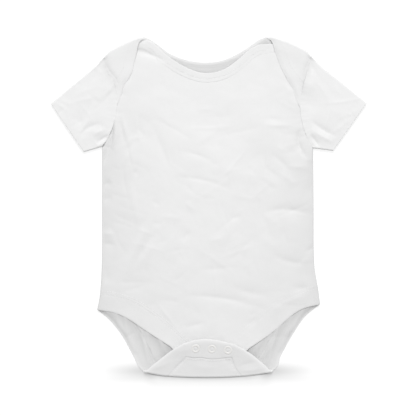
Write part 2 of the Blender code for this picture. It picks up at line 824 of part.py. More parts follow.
def leg_bands(side, finish):
    columns = shares((SIDE_COLUMNS, 1))
    rows = shares((BAND_STEPS, 1))
    seam = part_of(side_seam[side], 1, band_top(side))
    front = strip(front_leg_edge[side], front_leg_inner[side], LEG_BAND, start=seam)
    lines = plan(front, columns, rows, {"left": side_roll})
    layer = Layer(lines, front_height, [side_roll], 1)
    cloth("leg_band_front_" + side, [layer], BAND_WALL, finish)
    corner = {"left": 0, "right": 1}[side]
    fold = part_of(crotch_fold, corner, FOLD_CROSSING[side])
    back = strip(back_leg_edge[side], back_leg_inner[side], LEG_BAND, start=seam, end=fold)
    flap = strip(crotch_edge[side], crotch_inner[side], LEG_BAND, start=fold)
    lines = plan(back, columns, rows, {"left": side_roll, "right": crotch_roll})
    flap_lines = plan(flap, shares((CROTCH_ROWS, 1)), rows, {"left": crotch_roll})
    layers = [
        Layer(lines, back_height, body_rolls, -1),
        Layer(flap_lines, crotch_flap_height, [crotch_roll], 1),
    ]
    cloth("leg_band_back_" + side, layers, BAND_WALL, finish)


def plackets(finish):
    """The bands across the two ends of the crotch, where the snaps sit."""
    rows = shares((BAND_STEPS, 1))
    top, low = path(spots(PLACKET_TOP)), path(spots(PLACKET_LOW))
    clear = SEAM_GAP / (top(1) - top(0)).length
    band = strip(part_of(top, clear, 1 - clear), part_of(low, clear, 1 - clear), LEG_BAND)
    lines = plan(band, shares((PLACKET_COLUMNS, 1)), rows)
    cloth("crotch_placket_back", [Layer(lines, crotch_flap_height, [], 1)], BAND_WALL, finish)
    low_left, low_right = one_side([UNDER_PLACKET_LOW], "left") + one_side([UNDER_PLACKET_LOW], "right")
    corners = [front_leg_edge["left"](1), front_leg_inner["left"](1)]
    corners += [front_leg_inner["right"](1), front_leg_edge["right"](1)]
    below = Vector((0, -SEAM_GAP))
    top = [corner + below for corner in corners]
    lines = [top, [low_left.lerp(low_right, k / 3) for k in range(4)]]
    lines.insert(1, [a.lerp(b, 0.5) for a, b in zip(*lines)])
    cloth("crotch_placket_front", [Layer(lines, front_height, [], 1)], BAND_WALL, finish)


# ---------------------------------------------------------------- snaps


def turned_ring(name, profile, sides, finish):
    """A closed profile of (radius, height) points spun round Z."""
    mesh = bmesh.new()
    verts = [mesh.verts.new((radius, 0, height)) for radius, height in profile]
    edges = [mesh.edges.new((a, b)) for a, b in zip(verts, verts[1:] + verts[:1])]
    bmesh.ops.spin(
        mesh,
        geom=verts + edges,
        cent=(0, 0, 0),
        axis=(0, 0, 1),
        dvec=(0, 0, 0),
        angle=2 * math.pi,
        steps=sides,
        use_merge=True,
    )
    bmesh.ops.recalc_face_normals(mesh, faces=mesh.faces)
    return keep(name, mesh, finish)


def snaps(finish):
    """Each snap: an open ring on the flap and its socket between the two plackets."""
    edge = SNAP_HEIGHT / 3
    ring = (
        (SNAP_HOLE, 0),
        (SNAP_RADIUS - edge / 2, 0),
        (SNAP_RADIUS, edge),
        (SNAP_RADIUS - edge, SNAP_HEIGHT),
        (SNAP_HOLE + edge, SNAP_HEIGHT),
        (SNAP_HOLE, 2 * edge),
    )
    tilt = math.atan(CROTCH_SLOPE)
    for number, spot in enumerate(spots(SNAPS), start=1):
        cap = turned_ring(f"snap_ring_{number}", ring, SNAP_SIDES, finish)
        top = crotch_flap_height(spot)
        cap.location = (spot.x, spot.y, top + SNAP_SEAT)
        cap.rotation_euler.x = tilt
        low = front_height(spot) + SNAP_SEAT
        high = top - BAND_WALL / math.cos(tilt) - SNAP_SEAT - SOCKET_RADIUS * CROTCH_SLOPE
        socket = bmesh.new()
        bmesh.ops.create_cone(
            socket,
            cap_ends=True,
            segments=SNAP_SIDES,
            radius1=SOCKET_RADIUS,
            radius2=SOCKET_RADIUS - edge,
            depth=high - low,
        )
        made = keep(f"snap_socket_{number}", socket, finish)
        made.location = (spot.x, spot.y, (low + high) / 2)


# ---------------------------------------------------------------- the garment


def main():
    for old in list(bpy.data.objects):
        bpy.data.objects.remove(old, do_unlink=True)
    jersey = material("White cotton jersey", WHITE_COTTON, 0.9)
    rib = material("White cotton rib", WHITE_RIB, 0.85)
    enamel = material("White enamel", WHITE_ENAMEL, 0.3)
    back_panel(jersey)
    front_panel(jersey)
    for side in SIDES:
        sleeve(side, jersey)
        leg_bands(side, rib)
    neck_bands(rib)
    plackets(rib)
    snaps(enamel)


main()
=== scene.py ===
"""A short-sleeved baby bodysuit laid flat on a pale table.

+X is the right of the laid-out garment, +Y its neck, +Z up from the table. Every piece of cloth is
a thin shell on its solid's form: its outer face is a grid worked out from the garment's outline,
and it is extruded inwards by the cloth's thickness. Tables and plan work are in millimetres;
meshes and settings are in metres.
"""

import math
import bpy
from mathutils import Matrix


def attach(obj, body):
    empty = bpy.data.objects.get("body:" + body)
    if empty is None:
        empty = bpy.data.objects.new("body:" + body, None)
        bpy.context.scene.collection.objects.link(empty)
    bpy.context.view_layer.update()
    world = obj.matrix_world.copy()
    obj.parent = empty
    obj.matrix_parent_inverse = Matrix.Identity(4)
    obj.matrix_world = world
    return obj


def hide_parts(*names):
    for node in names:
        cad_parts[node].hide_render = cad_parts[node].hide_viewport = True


bl_info = {
    "name": "Baby bodysuit",
    "version": (1, 0, 0),
    "blender": (4, 5, 0),
    "location": "3D View > Sidebar > Bodysuit",
    "description": "Builds a baby bodysuit with lapped shoulders and a snapped crotch, laid flat",
    "category": "Add Mesh",
}

from collections import namedtuple

import bmesh
import bpy
import numpy as np
from bpy.props import FloatProperty, FloatVectorProperty, PointerProperty
from mathutils import Matrix, Vector

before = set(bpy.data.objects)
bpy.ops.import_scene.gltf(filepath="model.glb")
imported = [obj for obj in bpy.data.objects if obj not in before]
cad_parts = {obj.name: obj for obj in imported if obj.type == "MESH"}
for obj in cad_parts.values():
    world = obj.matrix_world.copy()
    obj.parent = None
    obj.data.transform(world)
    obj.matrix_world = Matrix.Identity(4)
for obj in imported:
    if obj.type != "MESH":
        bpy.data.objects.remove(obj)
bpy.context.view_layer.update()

MM = 0.001
SIDES = ("left", "right")
INWARD = {"left": 1, "right": -1}  # sign of X from a side towards the middle

# ---------------------------------------------------------------- sizes, in millimetres
# A name that ends in RAMP holds where a change starts and how far it runs, as ramp() takes them

SEAM_GAP = 0.02
WELD = 0.01
NECK_BAND = 10.5
LEG_BAND = 20.0
PLACKET = 18.0
UNDER_PLACKET = 14.0
HEM = 9.0  # width of the turned hem at each cuff

# Radius of each closed edge, where the cloth turns from the under layer to the upper one
SIDE_ROLL = 2.5
SLEEVE_CAP_ROLL = 3.3
SHOULDER_ROLL = 3.5
CROTCH_ROLL = 3.0
ROLL_WIDTH = 0.7  # the turn is pressed: it is this much as wide as it is high

# The front rises from its side seams and armholes, and slopes down towards its left side seam
BODY_SWELL = 3.4
SWELL_REACH = {"left": 54.0, "right": 40.0}
NECK_SWELL_RAMP = (150.0, -120.0)
CROTCH_SWELL_RAMP = (-150.0, 120.0)
LEFT_FALL = 2.5
LEFT_FALL_REACH = 34.0
LEFT_FALL_RAMPS = ((-100.0, 60.0), (95.0, -60.0))

# The shoulder flap settles inside its fold, and a little more towards its tip
FLAP_SETTLE = 1.1
FLAP_SETTLE_RAMP = (2.0, 20.0)
TIP_SETTLE = 0.3
TIP_SETTLE_RAMP = (144.0, -12.0)
FLAP_WAVES = 0.6
FLAP_WAVES_RAMP = (SHOULDER_ROLL, 10.0)
# It comes down to its free edge, most at the neck point, and presses the front in
FLAP_DROP = {"left": 0.5, "right": 0.75}
FLAP_DROP_REACH = 4.5
FLAP_DROP_RAMP = (3.0, 12.0)
POINT_DROP = 1.5
POINT_REACH = 7.0
POINT_RUN = 16.0
FLAP_PRESS = 0.45
FLAP_PRESS_REACH = 2.4
FLAP_PRESS_RAMP = (6.0, 10.0)
FLAP_PRESS_UNEVEN = 0.25  # share by which the groove's depth swings on the left
FLAP_PRESS_WAVE = 3.4
SHOULDER_RIM = 1.7  # width over which the shoulder flap's free edge is rounded
FLAP_WALL = 0.7  # share of its thickness that the flap's binding keeps inside the fold
FLAP_WALL_RUN = 0.2

CROTCH_SLOPES = (0.10, 0.13)  # rise of the crotch flap below and above its placket seam
CROTCH_BEND = 21.0  # distance of that seam from the fold

CAP_REACH = 11.0  # how far the sleeve stays thick beside the shoulder flap
SLEEVE_SWELL = 0.5
SLEEVE_SWELL_REACH = 25.0
SLEEVE_WAVES = 0.7
HEM_RISE = 0.08  # the cuff's hem is this much thicker
HEM_RISE_RUN = 1.6
GATHER = 0.03  # depth of the ripples beside it
GATHER_REACH = 4.0
GATHER_WAVE = 5.3
GATHER_CHANGE = 0.31

# The back rises to its neck edge, and under the hems of the front at the leg openings
NECK_LIFT = 2.0
NECK_LIFT_RAMP = (2.0, 16.0)
LEG_LIFT = 3.0
LEG_LIFT_REACH = 12.0
LIFT_CLEAR = 6.0  # the second dies out this far from the edges of the back
POINT_SPOTS = ((-71.5, 184.2), (67.3, 183.0), (68.8, 180.4))
POINT_LIFT = 1.5  # the back fills the folds at the neck points too
POINT_LIFT_REACH = 4.2

# How the cloth is finished at its edges
RIM = 0.8  # a free edge is rounded over this width
CUT_RIM = 0.05  # but hardly where the under side's hems lie on the table
HEM_RIM = 2.2  # and more at the front's hems
HEM_WALL = 0.3  # which keep this share of their thickness at the edge
HEM_WALL_RUN = 6.0
BACK_NECK_RIM = 0.4
FLAP_RIM = 6.0  # the crotch flap's edge is fuller
SEAM_ROUND = 1.0  # a band's sewn edge is rounded over this width
NECK_CROWN = 0.2  # the neck bindings stand this proud of the panels
BACK_NECK_CROWN = NECK_CROWN / 6
LEG_CROWN = 0.03
FLAP_CROWN = 0.22
PANEL_WALL = 0.8  # bands thin down to this at their sewn edge
PANEL_WALL_RUN = 6.0
TURN_RUN = 3.0  # or over this width where the turned-in strip ends
NECK_TURN = 5.5  # width of that strip in the back neck's binding
LEAST_WALL = 0.12
CUFF_WALL = 0.15  # share of its thickness that a sleeve keeps at the cuff's very edge
SHARP = math.radians(65)  # cut edges of the cloth stay crisp beside its faces

# Valleys along the seams
SEAM_SINK = 0.07
FLAT_SEAM_SINK = 0.03  # along one that is pressed flat
SEAM_REACH = 1.2
PLACKET_SINK = 0.32  # below the placket, from where the cloth rises slowly
PLACKET_SINK_REACH = 7.0
# At the shoulder the armhole is a step, its body side rolling down to the sleeve
CAP_SINK = {"left": 1.8, "right": 1.9}
CAP_SINK_REACH = 4.6
CAP_SINK_RAMPS = {"left": (50.0, -26.0), "right": (38.0, -26.0)}
SLEEVE_SINK_REACH = {"left": 16.0, "right": 7.0}
ARMPIT_SINK = 0.7  # its valley is deep again at the armpit
ARMPIT_REACH = 2.2
ARMPIT_RUN = 14.0
FLAP_LEVEL = 110.0  # below this the front itself meets the armhole, above it the shoulder flap
STITCH_SINK = 0.14  # depth of the channel that a row of stitches pulls in
STITCH_REACH = 0.6
PUCKER = 0.10  # height of the ripples that a seam gathers
PUCKER_REACH = 6.0
PUCKER_WAVE = 6.5
PUCKER_DRIFT = 1.3  # how unevenly they follow each other, and how fast that changes
PUCKER_CHANGE = 0.37
# The front neck binding's seam fades to a share of its depth before and after these shares of it
NECK_SEAM_LEFT = 0.2
NECK_SEAM_SHOWS = (0.34, 0.6)
NECK_SEAM_RUNS = (0.1, 0.15)

# Creases
CREST_ROUND = 1.0
FOLD_CLEAR = 3.0  # creases die out this far from a closed edge
MINOR_LENGTH = (14.0, 56.0)
MINOR_BOW = (-2, 2)
MINOR_WIDTH = (0.9, 2.2)
MINOR_RISE = (0.08, 0.36)
WAVE_SEED = 11
WAVES = 60
WAVE_LONGEST = 90.0
WAVE_SHORTEST = 7.0
WAVE_SLOPE = 0.0005
WAVE_POWER = 1.15

# Grid spacing, and the rough lengths of the edges that the grids are graded over
COARSE = 1.5
FINE = 0.14
FRONT_FINE = 0.3
BAND_COARSE = 1.1
BAND_FINE = 0.2
PLACKET_COARSE = 0.55
GRID_GROWTH = 0.32
SIDE_RUN = 190
ARMHOLE_RUN = 115
SHOULDER_RUN = 70
MIDDLE_RUN = 105
FLAP_RUN = 45
CROTCH_RUN = 22
SLEEVE_ROUND = 110
SLEEVE_RUN = 75
FRONT_NECK_RUN = 190
BACK_NECK_RUN = 200
FLAP_EDGE_RUN = 76
FRONT_LEG_RUN = 100
BACK_LEG_RUN = 110
CROTCH_EDGE_RUN = 50
PLACKET_RUN = 56
UNDER_PLACKET_RUN = 58

# Shares of the curves
BREAKS = (0.3, 0.7)  # shares of a body panel's width at which its edges change
ARMPIT_SHARE = 0.6  # share of a body panel's rows that runs along its side seam
FLAP_TIP_SHARE = 0.29  # share of the armhole beside the flap's panel
FRONT_TOP_SHARE = 0.03  # the front's armhole starts this far down, inside the shoulder fold
CAP_SHARE = 0.3  # share of the armhole that the thick part of the sleeve lies along
POINT_SHARE = 0.1  # share of a curve over which its way at the neck point is taken

# Snaps
SNAP_RADIUS = 4.75
SNAP_HOLE = 2.3
SNAP_HEIGHT = 0.8
SNAP_SEAT = -0.44
SNAP_PRESS = 0.14  # the ring presses the flap in by this
SNAP_PRESS_RUN = 1.6
SNAP_DOME = 0.15  # and cloth swells through its hole by this
SNAP_DOME_RUN = 1.4
SNAP_STEPS = 48

# Rows of stitches, as distances from a band's free edge or from its seam
NECK_STITCH = 6.4
LEG_STITCH = LEG_BAND - 2.4
LEG_ROWS = (-1.3, LEG_BAND - LEG_STITCH)
PLACKET_ROWS = (2.0, -1.4)
# How high they lie: on the front's right the cloth has closed over them
FRONT_SEWN = {"left": 0.06, "right": -0.14}
FLAP_SEWN = -0.12
UNDER_SEWN = 0.12

# Painted shading, as factors on the cloth's colour: 1 leaves it as it is
PAINTED_SIDE_SHADES = ((0.085, 38.0), (0.04, 3.5))  # depth and reach of the painted shade along the side folds
# Painted shade in the armholes' seam valleys near the shoulders
PAINTED_SEAM_SHADE = 0.06
PAINTED_SEAM_SHADE_REACH = 3.6
PAINTED_SEAM_SHADE_RAMP = (46.0, -14.0)
PAINTED_CROTCH_SHADE = 0.955  # painted shade over the crotch flap, with a painted highlight of this much along its free edge
PAINTED_EDGE_HIGHLIGHT = 0.09
PAINTED_EDGE_HIGHLIGHT_REACH = 2.4
# Painted shade on the cloth's inner side, deepened into a painted shadow under the front's hems
PAINTED_INSIDE_SHADE = 0.935
PAINTED_HEM_SHADOW = 0.15
PAINTED_HEM_SHADOW_REACH = 12.0
PAINTED_SHADE_FADE = 5.0  # the painted shade fades out over this much of a band towards its free edge

# The table, with painted shadow taken out of its glow beside the crotch fold
TABLE_WHITE = "#9E9E9E"  # the rest of the table's brightness is its own glow
TABLE_DEPTH = 0.1
PAINTED_CONTACT_SHADOW = 0.9  # painted contact shadow along the crotch fold
CONTACT_WIDTH = 1.0
CONTACT_WIDER = 0.2
CONTACT_WIDER_RAMP = (40, 25)
CONTACT_END_RAMP = (58, 14)
PAINTED_LOBE_SHADOW = 0.38  # painted shadow beyond both ends of the fold
LOBE_MIDDLE = -181.0
LOBE_WIDTH = 8.4
LOBE_RAMP = (54, 14)
LOBE_FULL = 70
LOBE_END = 125.0
PAINTED_TAIL_SHADOW = 0.18  # and a faint painted shadow in a strip beside it, whose upper edge bends up between the first two
TAIL_TOP = -184.0
TAIL_BEND = 2
TAIL_BEND_RAMPS = ((30, 30), (60, 10))
TAIL_TOP_RUN = 7
TAIL_RAMP = (-208.0, 22.0)
TAIL_THIN = 0.6
TAIL_THIN_RAMP = (58, 16)
TAIL_END_RAMP = (90, 60)

# Light and camera, the first two in metres
KEY_PLACE = (0.25, 3.05, 3.95)
KEY_SIZE = 2.6
CAMERA_AIM = (-0.55, -1.1)
CAMERA_BASE = 3
SENSOR = 36

# ---------------------------------------------------------------- the outline
# Each row holds x and y on the left side, then x and y on the right side

# From the shoulder tip to the armpit
ARMHOLE = (
    (-115.0, 165.0, 112.8, 166.0),
    (-111.9, 149.2, 109.8, 152.0),
    (-104.6, 138.0, 104.4, 135.5),
    (-100.8, 125.0, 101.2, 118.0),
    (-100.9, 107.0, 101.4, 101.0),
    (-105.2, 88.0, 104.4, 87.0),
    (-110.0, 77.0, 108.4, 76.5),
    (-117.2, 66.0, 115.2, 64.5),
)
# From the armpit to the corner of the leg opening
SIDE_SEAM = (
    (-117.2, 66.0, 115.2, 64.5),
    (-117.3, 0.0, 115.7, 0.0),
    (-117.4, -62.0, 116.4, -62.0),
    (-119.4, -96.0, 121.2, -94.0),
    (-122.6, -113.2, 122.8, -107.2),
)
# The two ends of each cuff, under the arm and at the fold above
CUFF_UNDER = ((-137.0, 60.3, 136.8, 61.6),)
CUFF_TOP = ((-173.4, 113.8, 174.2, 114.4),)
# How the fold above each sleeve sags between the shoulder tip and the cuff
SLEEVE_SAG = ((-124.0, 155.1, 124.0, 155.1), (-149.5, 133.9, 150.0, 134.3))
# The fold of each shoulder between the neck point and the shoulder tip
SHOULDER_FOLD = (
    (-75.5, 186.6, 70.5, 187.1),
    (-83.0, 184.2, 79.5, 184.7),
    (-92.8, 180.1, 89.4, 181.2),
    (-107.3, 172.4, 106.6, 172.6),
)
# Free edge of each shoulder flap, from the neck point almost to its tip in the armhole
FLAP_EDGE = (
    (-68.5, 186.2, 62.5, 186.6),
    (-75.8, 180.6, 69.2, 181.8),
    (-78.8, 170.0, 73.0, 170.5),
    (-81.8, 158.0, 76.8, 160.0),
    (-84.4, 147.6, 81.2, 149.8),
    (-88.2, 140.0, 86.6, 139.4),
    (-93.0, 133.3, 92.5, 129.7),
    (-95.6, 123.5, 95.8, 119.0),
)
FLAP_TIP = {"left": 0.54, "right": 0.56}  # share of the armhole at which its tip is sewn in
# From the corner of the leg opening to the crotch
BACK_LEG_EDGE = (
    (-122.6, -113.2, 122.8, -107.2),
    (-108.4, -125.2, 106.2, -121.0),
    (-95.2, -141.9, 92.2, -141.4),
    (-82.4, -165.0, 79.4, -164.8),
    (-77.0, -176.0, 76.4, -175.2),
    (-71.0, -181.9, 69.9, -181.9),
)
BACK_LEG_INNER = (
    (-106.0, -100.0, 106.0, -94.5),
    (-86.3, -118.8, 84.5, -117.0),
    (-69.8, -145.4, 67.0, -145.2),
    (-58.5, -168.5, 54.0, -167.5),
)
FRONT_LEG_EDGE = (
    (-122.6, -113.2, 122.8, -107.2),
    (-109.2, -115.2, 112.5, -109.3),
    (-98.7, -118.1, 103.7, -112.0),
    (-86.4, -124.3, 93.2, -118.1),
    (-72.3, -134.0, 68.5, -139.3),
    (-41.0, -154.2, 44.0, -156.0),
)
FRONT_LEG_INNER = (
    (-102.2, -95.3, 105.5, -90.8),
    (-77.6, -104.1, 79.0, -103.0),
    (-51.2, -122.5, 53.0, -124.0),
    (-20.4, -149.6, 22.4, -149.6),
)
# Shares of the crotch fold where the leg bands' inner edges cross it
FOLD_CROSSING = {"left": 0.18, "right": 0.77}
CROTCH_FOLD = (
    (-71.0, -181.9),
    (-46.8, -185.9),
    (-3.9, -187.5),
    (38.0, -186.1),
    (69.9, -181.9),
)
# Free edges of the crotch flap, from the fold to the corners of the placket
CROTCH_EDGE = (
    (-71.0, -181.9, 69.9, -181.9),
    (-54.7, -168.3, 59.7, -171.8),
    (-38.8, -156.0, 45.7, -160.4),
    (-26.8, -149.2, 28.6, -150.4),
)
CROTCH_INNER = ((-38.6, -178.6, 29.8, -176.6), (-24.6, -163.8, 25.6, -164.6))
PLACKET_TOP = ((-26.8, -149.2), (-13.0, -145.3), (4.5, -145.0), (28.6, -150.4))
PLACKET_LOW = (
    (-24.6, -163.8),
    (-16.5, -165.3),
    (-8.0, -165.0),
    (0.5, -166.4),
    (9.0, -166.5),
    (17.0, -165.5),
    (25.6, -164.6),
)
UNDER_PLACKET_LOW = ((-28.0, -165.4), (29.8, -165.8))
BACK_NECK = (
    (-68.5, 186.2),
    (-63.6, 184.0),
    (-54.0, 177.4),
    (-42.0, 168.6),
    (-24.0, 161.7),
    (-4.0, 159.2),
    (16.0, 161.6),
    (34.0, 169.8),
    (48.0, 178.9),
    (55.5, 184.1),
    (62.5, 186.6),
)
FRONT_NECK = (
    (-81.0, 182.2),
    (-72.0, 184.2),
    (-62.2, 181.0),
    (-43.9, 165.4),
    (-24.5, 153.3),
    (-5.0, 147.2),
    (15.5, 150.6),
    (32.0, 161.6),
    (42.0, 170.6),
    (53.0, 177.6),
    (61.0, 178.9),
    (72.6, 179.4),
)
SNAPS = ((-14.1, -155.1), (3.7, -155.6), (21.2, -156.8))

# Creases: x and y of both ends, sideways bow at the middle, width, and rise of each
FRONT_CREASES = (
    (-97, 177, -46, 160, -1.5, 2.4, -1.6),
    (-28, -97, 62, -111, -3.5, 3, -0.9),
    (-52, -102, -30, -104, 0, 3, -0.45),
    (28, -88, 66, -97, 2, 3, -0.81),
    (90, -88, 111, -88, 1, 3, -0.9),
    (70, -52, 109, -62, 3, 3.5, -1.08),
    (60, -5, 115, -9, -4, 4.5, -1.71),
    (68, 60, 92, 38, 0, 2.5, -0.72),
    (60, 45, 80, 30, 0, 2.5, -0.58),
    (78, 38, 97, 23, 0, 2.5, 0.58),
    (62, 26, 73, 17, 0, 2.5, -0.4),
    (45, 41, 49, 24, 0, 2, 0.45),
    (99, 85, 109, 52, 4.5, 2.2, -2.52),
    (84, 45, 112, 43, 0, 4, 0.9),
    (84, 60, 99, 60, 0, 3, -0.54),
    (8, 77, 60, 88, 0, 2.5, -0.43),
    (60, 91, 92, 90, 1, 2, 0.65),
    (-30, 61, 5, 50, -1.5, 2, -0.58),
    (2, 52, 14, 46, 2, 2.5, -0.4),
    (-38, 33, 27, 18, -3.9, 2.2, -0.65),
    (25, 15, 55, 8, 1, 2, 0.32),
    (-61, 90, -43, 42, 0, 3, -1.08),
    (-80, 88, -64, 72, 0, 3, -0.5),
    (-76, 102, -60, 84, 0, 7, -0.54),
    (-101, 105, -104, 60, 0, 2.5, 1.62),
    (-104, 99, -115, 46, -2, 2, -2.34),
    (-96, 103, -87, 66, 0, 1.8, 0.81),
    (-98, 98, -92, 68, 0, 1.8, -0.63),
    (-84, 78, -83, 28, 0, 5, 0.63),
    (-83, 41, -76, 34, 0, 3, -0.54),
    (-62, 8, -53, 0, 0, 3, -0.54),
    (-86, 30, -76, -24, 0, 4.5, 0.81),
    (-63, -12, -92, -82, 2, 4, 0.9),
    (-57, -24, -82, -66, 1, 3.5, -0.95),
    (-53, -32, -78, -70, 1, 3.5, 0.87),
    (-71, -12, -92, -62, 1, 4, -0.95),
    (-118, -40, -102, -42, 0, 3.5, -0.9),
    (-118, -29, -102, -30, 0, 3, 0.81),
    (-118, 24, -106, 27, 0, 4, -0.9),
    (-118, 8, -106, 10, 0, 4, -0.72),
    (-114, -66, -110, -86, 0, 3, -0.72),
    (-30, -37, -20, -26, 0, 2.5, -0.58),
    (-26, 6, -14, -6, 0, 2.5, 0.5),
    (-55, -9, -26, -12, 1, 3, 0.58),
    (-64, -16, -50, -18, 1, 2.5, -0.45),
    (20, -11, 38, -12, 0, 2.2, -0.49),
    (-13, -69, 31, -65, 1, 3, -0.5),
    (0, -38, 19, -31, 1, 2.5, 0.4),
    (36, -22, 24, -34, 1, 3, -0.36),
    (-28, -132, -3, -126, 1, 3, -0.8),
    (43, -131, 53, -122, 0, 2.5, -0.72),
    (43, -119, 53, -117, 0, 2.5, -0.49),
    (-57, -105, -35, -133, 0, 1.6, 0.45),
    (64, -118, 112, -96, -3, 6, 0.72),
    (106, -51, 118, -41, 0, 2.5, -0.9),
    (104, -63, 110, -54, 0, 1.5, 0.54),
    (112, 52, 113, 4, 0, 3, -1.26),
    (58, -30, 78, -46, 2, 7, 0.54),
    (10, 118, 62, 124, 3, 9, 0.45),
    (-70, 122, -30, 112, -3, 10, 0.45),
)
SLEEVE_CREASES = {
    "left": (
        (-143, 77, -117, 92, -3, 3, -1.3),
        (-127, 79, -113, 86, 0, 2.5, 1.08),
        (-123, 69, -109, 79, -1, 2, -1.8),
        (-123, 65, -110, 73, 0, 2, 1.08),
        (-150, 100, -134, 92, 2, 6, -0.54),
        (-118, 100, -112, 130, 2, 7, -0.54),
    ),
    "right": (
        (111, 96, 141, 77, 1.5, 3, -1.5),
        (113, 85, 139, 71, 1, 3, 1.08),
        (112, 80, 122, 66, 0, 2, -1.62),
        (128, 108, 152, 94, -3, 8, 0.54),
        (112, 102, 116, 130, -2, 7, -0.54),
    ),
}
CROTCH_CREASES = (
    (-23, -166, -42, -182, 1, 2, -0.5),
    (23, -165, 28, -180, -1, 2, -0.5),
    (-40, -160, -10, -152, 1, 4, 0.45),
    (34, -180, 62, -176, 1, 2.5, 0.63),
    (30, -176, 56, -170, -1, 2.5, -0.54),
    (-62, -178, -40, -168, 1, 3, 0.54),
    (-20, -172, 10, -176, 2, 5, 0.54),
    (10, -160, 30, -176, 1, 4, -0.45),
)
# The under side only rises from the table, so its folds do not go below it
BACK_CREASES = (
    (-104, -112, -88, -142, 3, 2.4, 1.3),
    (-92, -118, -80, -162, 3, 2.4, 1.8),
    (-80, -124, -66, -174, -2, 2, 1.7),
    (-68, -134, -60, -168, 2, 2, 1.6),
    (-56, -142, -50, -166, -2, 2, 1.3),
    (104, -110, 84, -142, -3, 2.4, 1.3),
    (90, -118, 78, -160, -3, 2.4, 1.8),
    (80, -126, 66, -174, 2, 2, 1.7),
    (68, -138, 60, -168, -2, 2, 1.6),
    (58, -148, 52, -166, 2, 2, 1.3),
    (-40, 90, 50, 104, 4, 6, 0.5),
    (-90, 40, -40, 20, -4, 7, 0.6),
    (30, 40, 96, 58, 4, 7, 0.6),
    (-70, -20, 10, -34, 4, 6, 0.5),
    (20, -50, 90, -40, -3, 7, 0.6),
    (-30, -90, 60, -96, 3, 6, 0.6),
    (-30, -150, 20, -140, 3, 6, 0.4),
    (-60, 130, -20, 122, 2, 5, 0.3),
)

JERSEY, RIB, THREAD, ENAMEL = (
    "Cotton interlock jersey",
    "Cotton rib binding",
    "Polyester sewing thread",
    "White enamel on brass",
)


# ---------------------------------------------------------------- curves in plan


def one_side(table, side):
    rows = np.array(table, float)
    return rows[:, :2] if side == "left" else rows[:, 2:]


def path(points):
    """A smooth curve through the points, as a function of 0 to 1 along it."""
    points = np.array(points, float)
    last = len(points) - 1
    knots = np.concatenate([[0], np.cumsum(np.linalg.norm(np.diff(points, axis=0), axis=1))])
    low, high = np.maximum(np.arange(-1, last), 0), np.minimum(np.arange(1, last + 2), last)
    slopes = (points[high] - points[low]) / (knots[high] - knots[low])[:, None]

    def at(share):
        place = np.clip(np.asarray(share, float), 0, 1) * knots[-1]
        k = np.clip(np.searchsorted(knots, place, side="right") - 1, 0, last - 1)
        span = (knots[k + 1] - knots[k])[..., None]
        t = (place - knots[k])[..., None] / span
        rise = t * t * (3 - 2 * t)
        tilt = slopes[k] * t * (1 - t) ** 2 + slopes[k + 1] * t * t * (t - 1)
        return points[k] * (1 - rise) + points[k + 1] * rise + tilt * span

    return at


def part_of(curve, start, end):
    """The stretch of a curve between two shares of it."""
    return lambda share: curve(start + (end - start) * np.asarray(share, float))


def backwards(curve):
    return part_of(curve, 1, 0)


def straight(start, end):
    start, end = np.array(start), np.array(end)
    return lambda share: start + (end - start) * np.asarray(share, float)[..., None]


def chain(curves, breaks):
    """Curves end to end, each filling its own stretch between the breaks."""
    marks = np.array([0.0, *breaks, 1.0])

    def at(share):
        share = np.asarray(share, float)
        k = np.clip(np.searchsorted(marks, share, side="right") - 1, 0, len(curves) - 1)
        local = (share - marks[k]) / (marks[k + 1] - marks[k])
        found = [curve(local) for curve in curves]
        return sum(np.where((k == n)[..., None], found[n], 0) for n in range(len(curves)))

    return at


def inset(points, width):
    """The points moved sideways by width: to the right of the way they run where it is positive."""
    points = np.array(points, float)
    run = np.gradient(points, axis=0)
    aside = np.stack([run[:, 1], -run[:, 0]], axis=1)
    return points + aside / np.linalg.norm(aside, axis=1)[:, None] * width


def sampled(curve, steps=100):
    return curve(np.linspace(0, 1, steps + 1))


def length_of(line):
    return float(np.linalg.norm(np.diff(line, axis=0), axis=1).sum())


def near(points, line):
    """How far each point lies from a line of points, and how far along the line that is."""
    start, run = line[:-1], np.diff(line, axis=0)
    size = np.linalg.norm(run, axis=1)
    begins = np.concatenate([[0], np.cumsum(size)[:-1]])
    away, along = np.empty(len(points)), np.empty(len(points))
    batch = 4000  # points at a time, so that the arrays stay small
    for k in range(0, len(points), batch):
        offset = points[k : k + batch, None] - start
        share = np.clip((offset * run).sum(axis=2) / size**2, 0, 1)
        gap = np.linalg.norm(offset - share[..., None] * run, axis=2)
        best = gap.argmin(axis=1)
        rows = np.arange(len(best))
        away[k : k + batch] = gap[rows, best]
        along[k : k + batch] = begins[best] + share[rows, best] * size[best]
    return away, along


def closest(points, lines):
    return np.min([near(points, line)[0] for line in lines], axis=0)


# ---------------------------------------------------------------- the garment's curves


def on_sides(make):
    """What make gives for each side."""
    return {side: make(side) for side in SIDES}


def side_curves(table):
    return on_sides(lambda side: path(one_side(table, side)))


def side_lines(curves):
    return on_sides(lambda side: sampled(curves[side]))


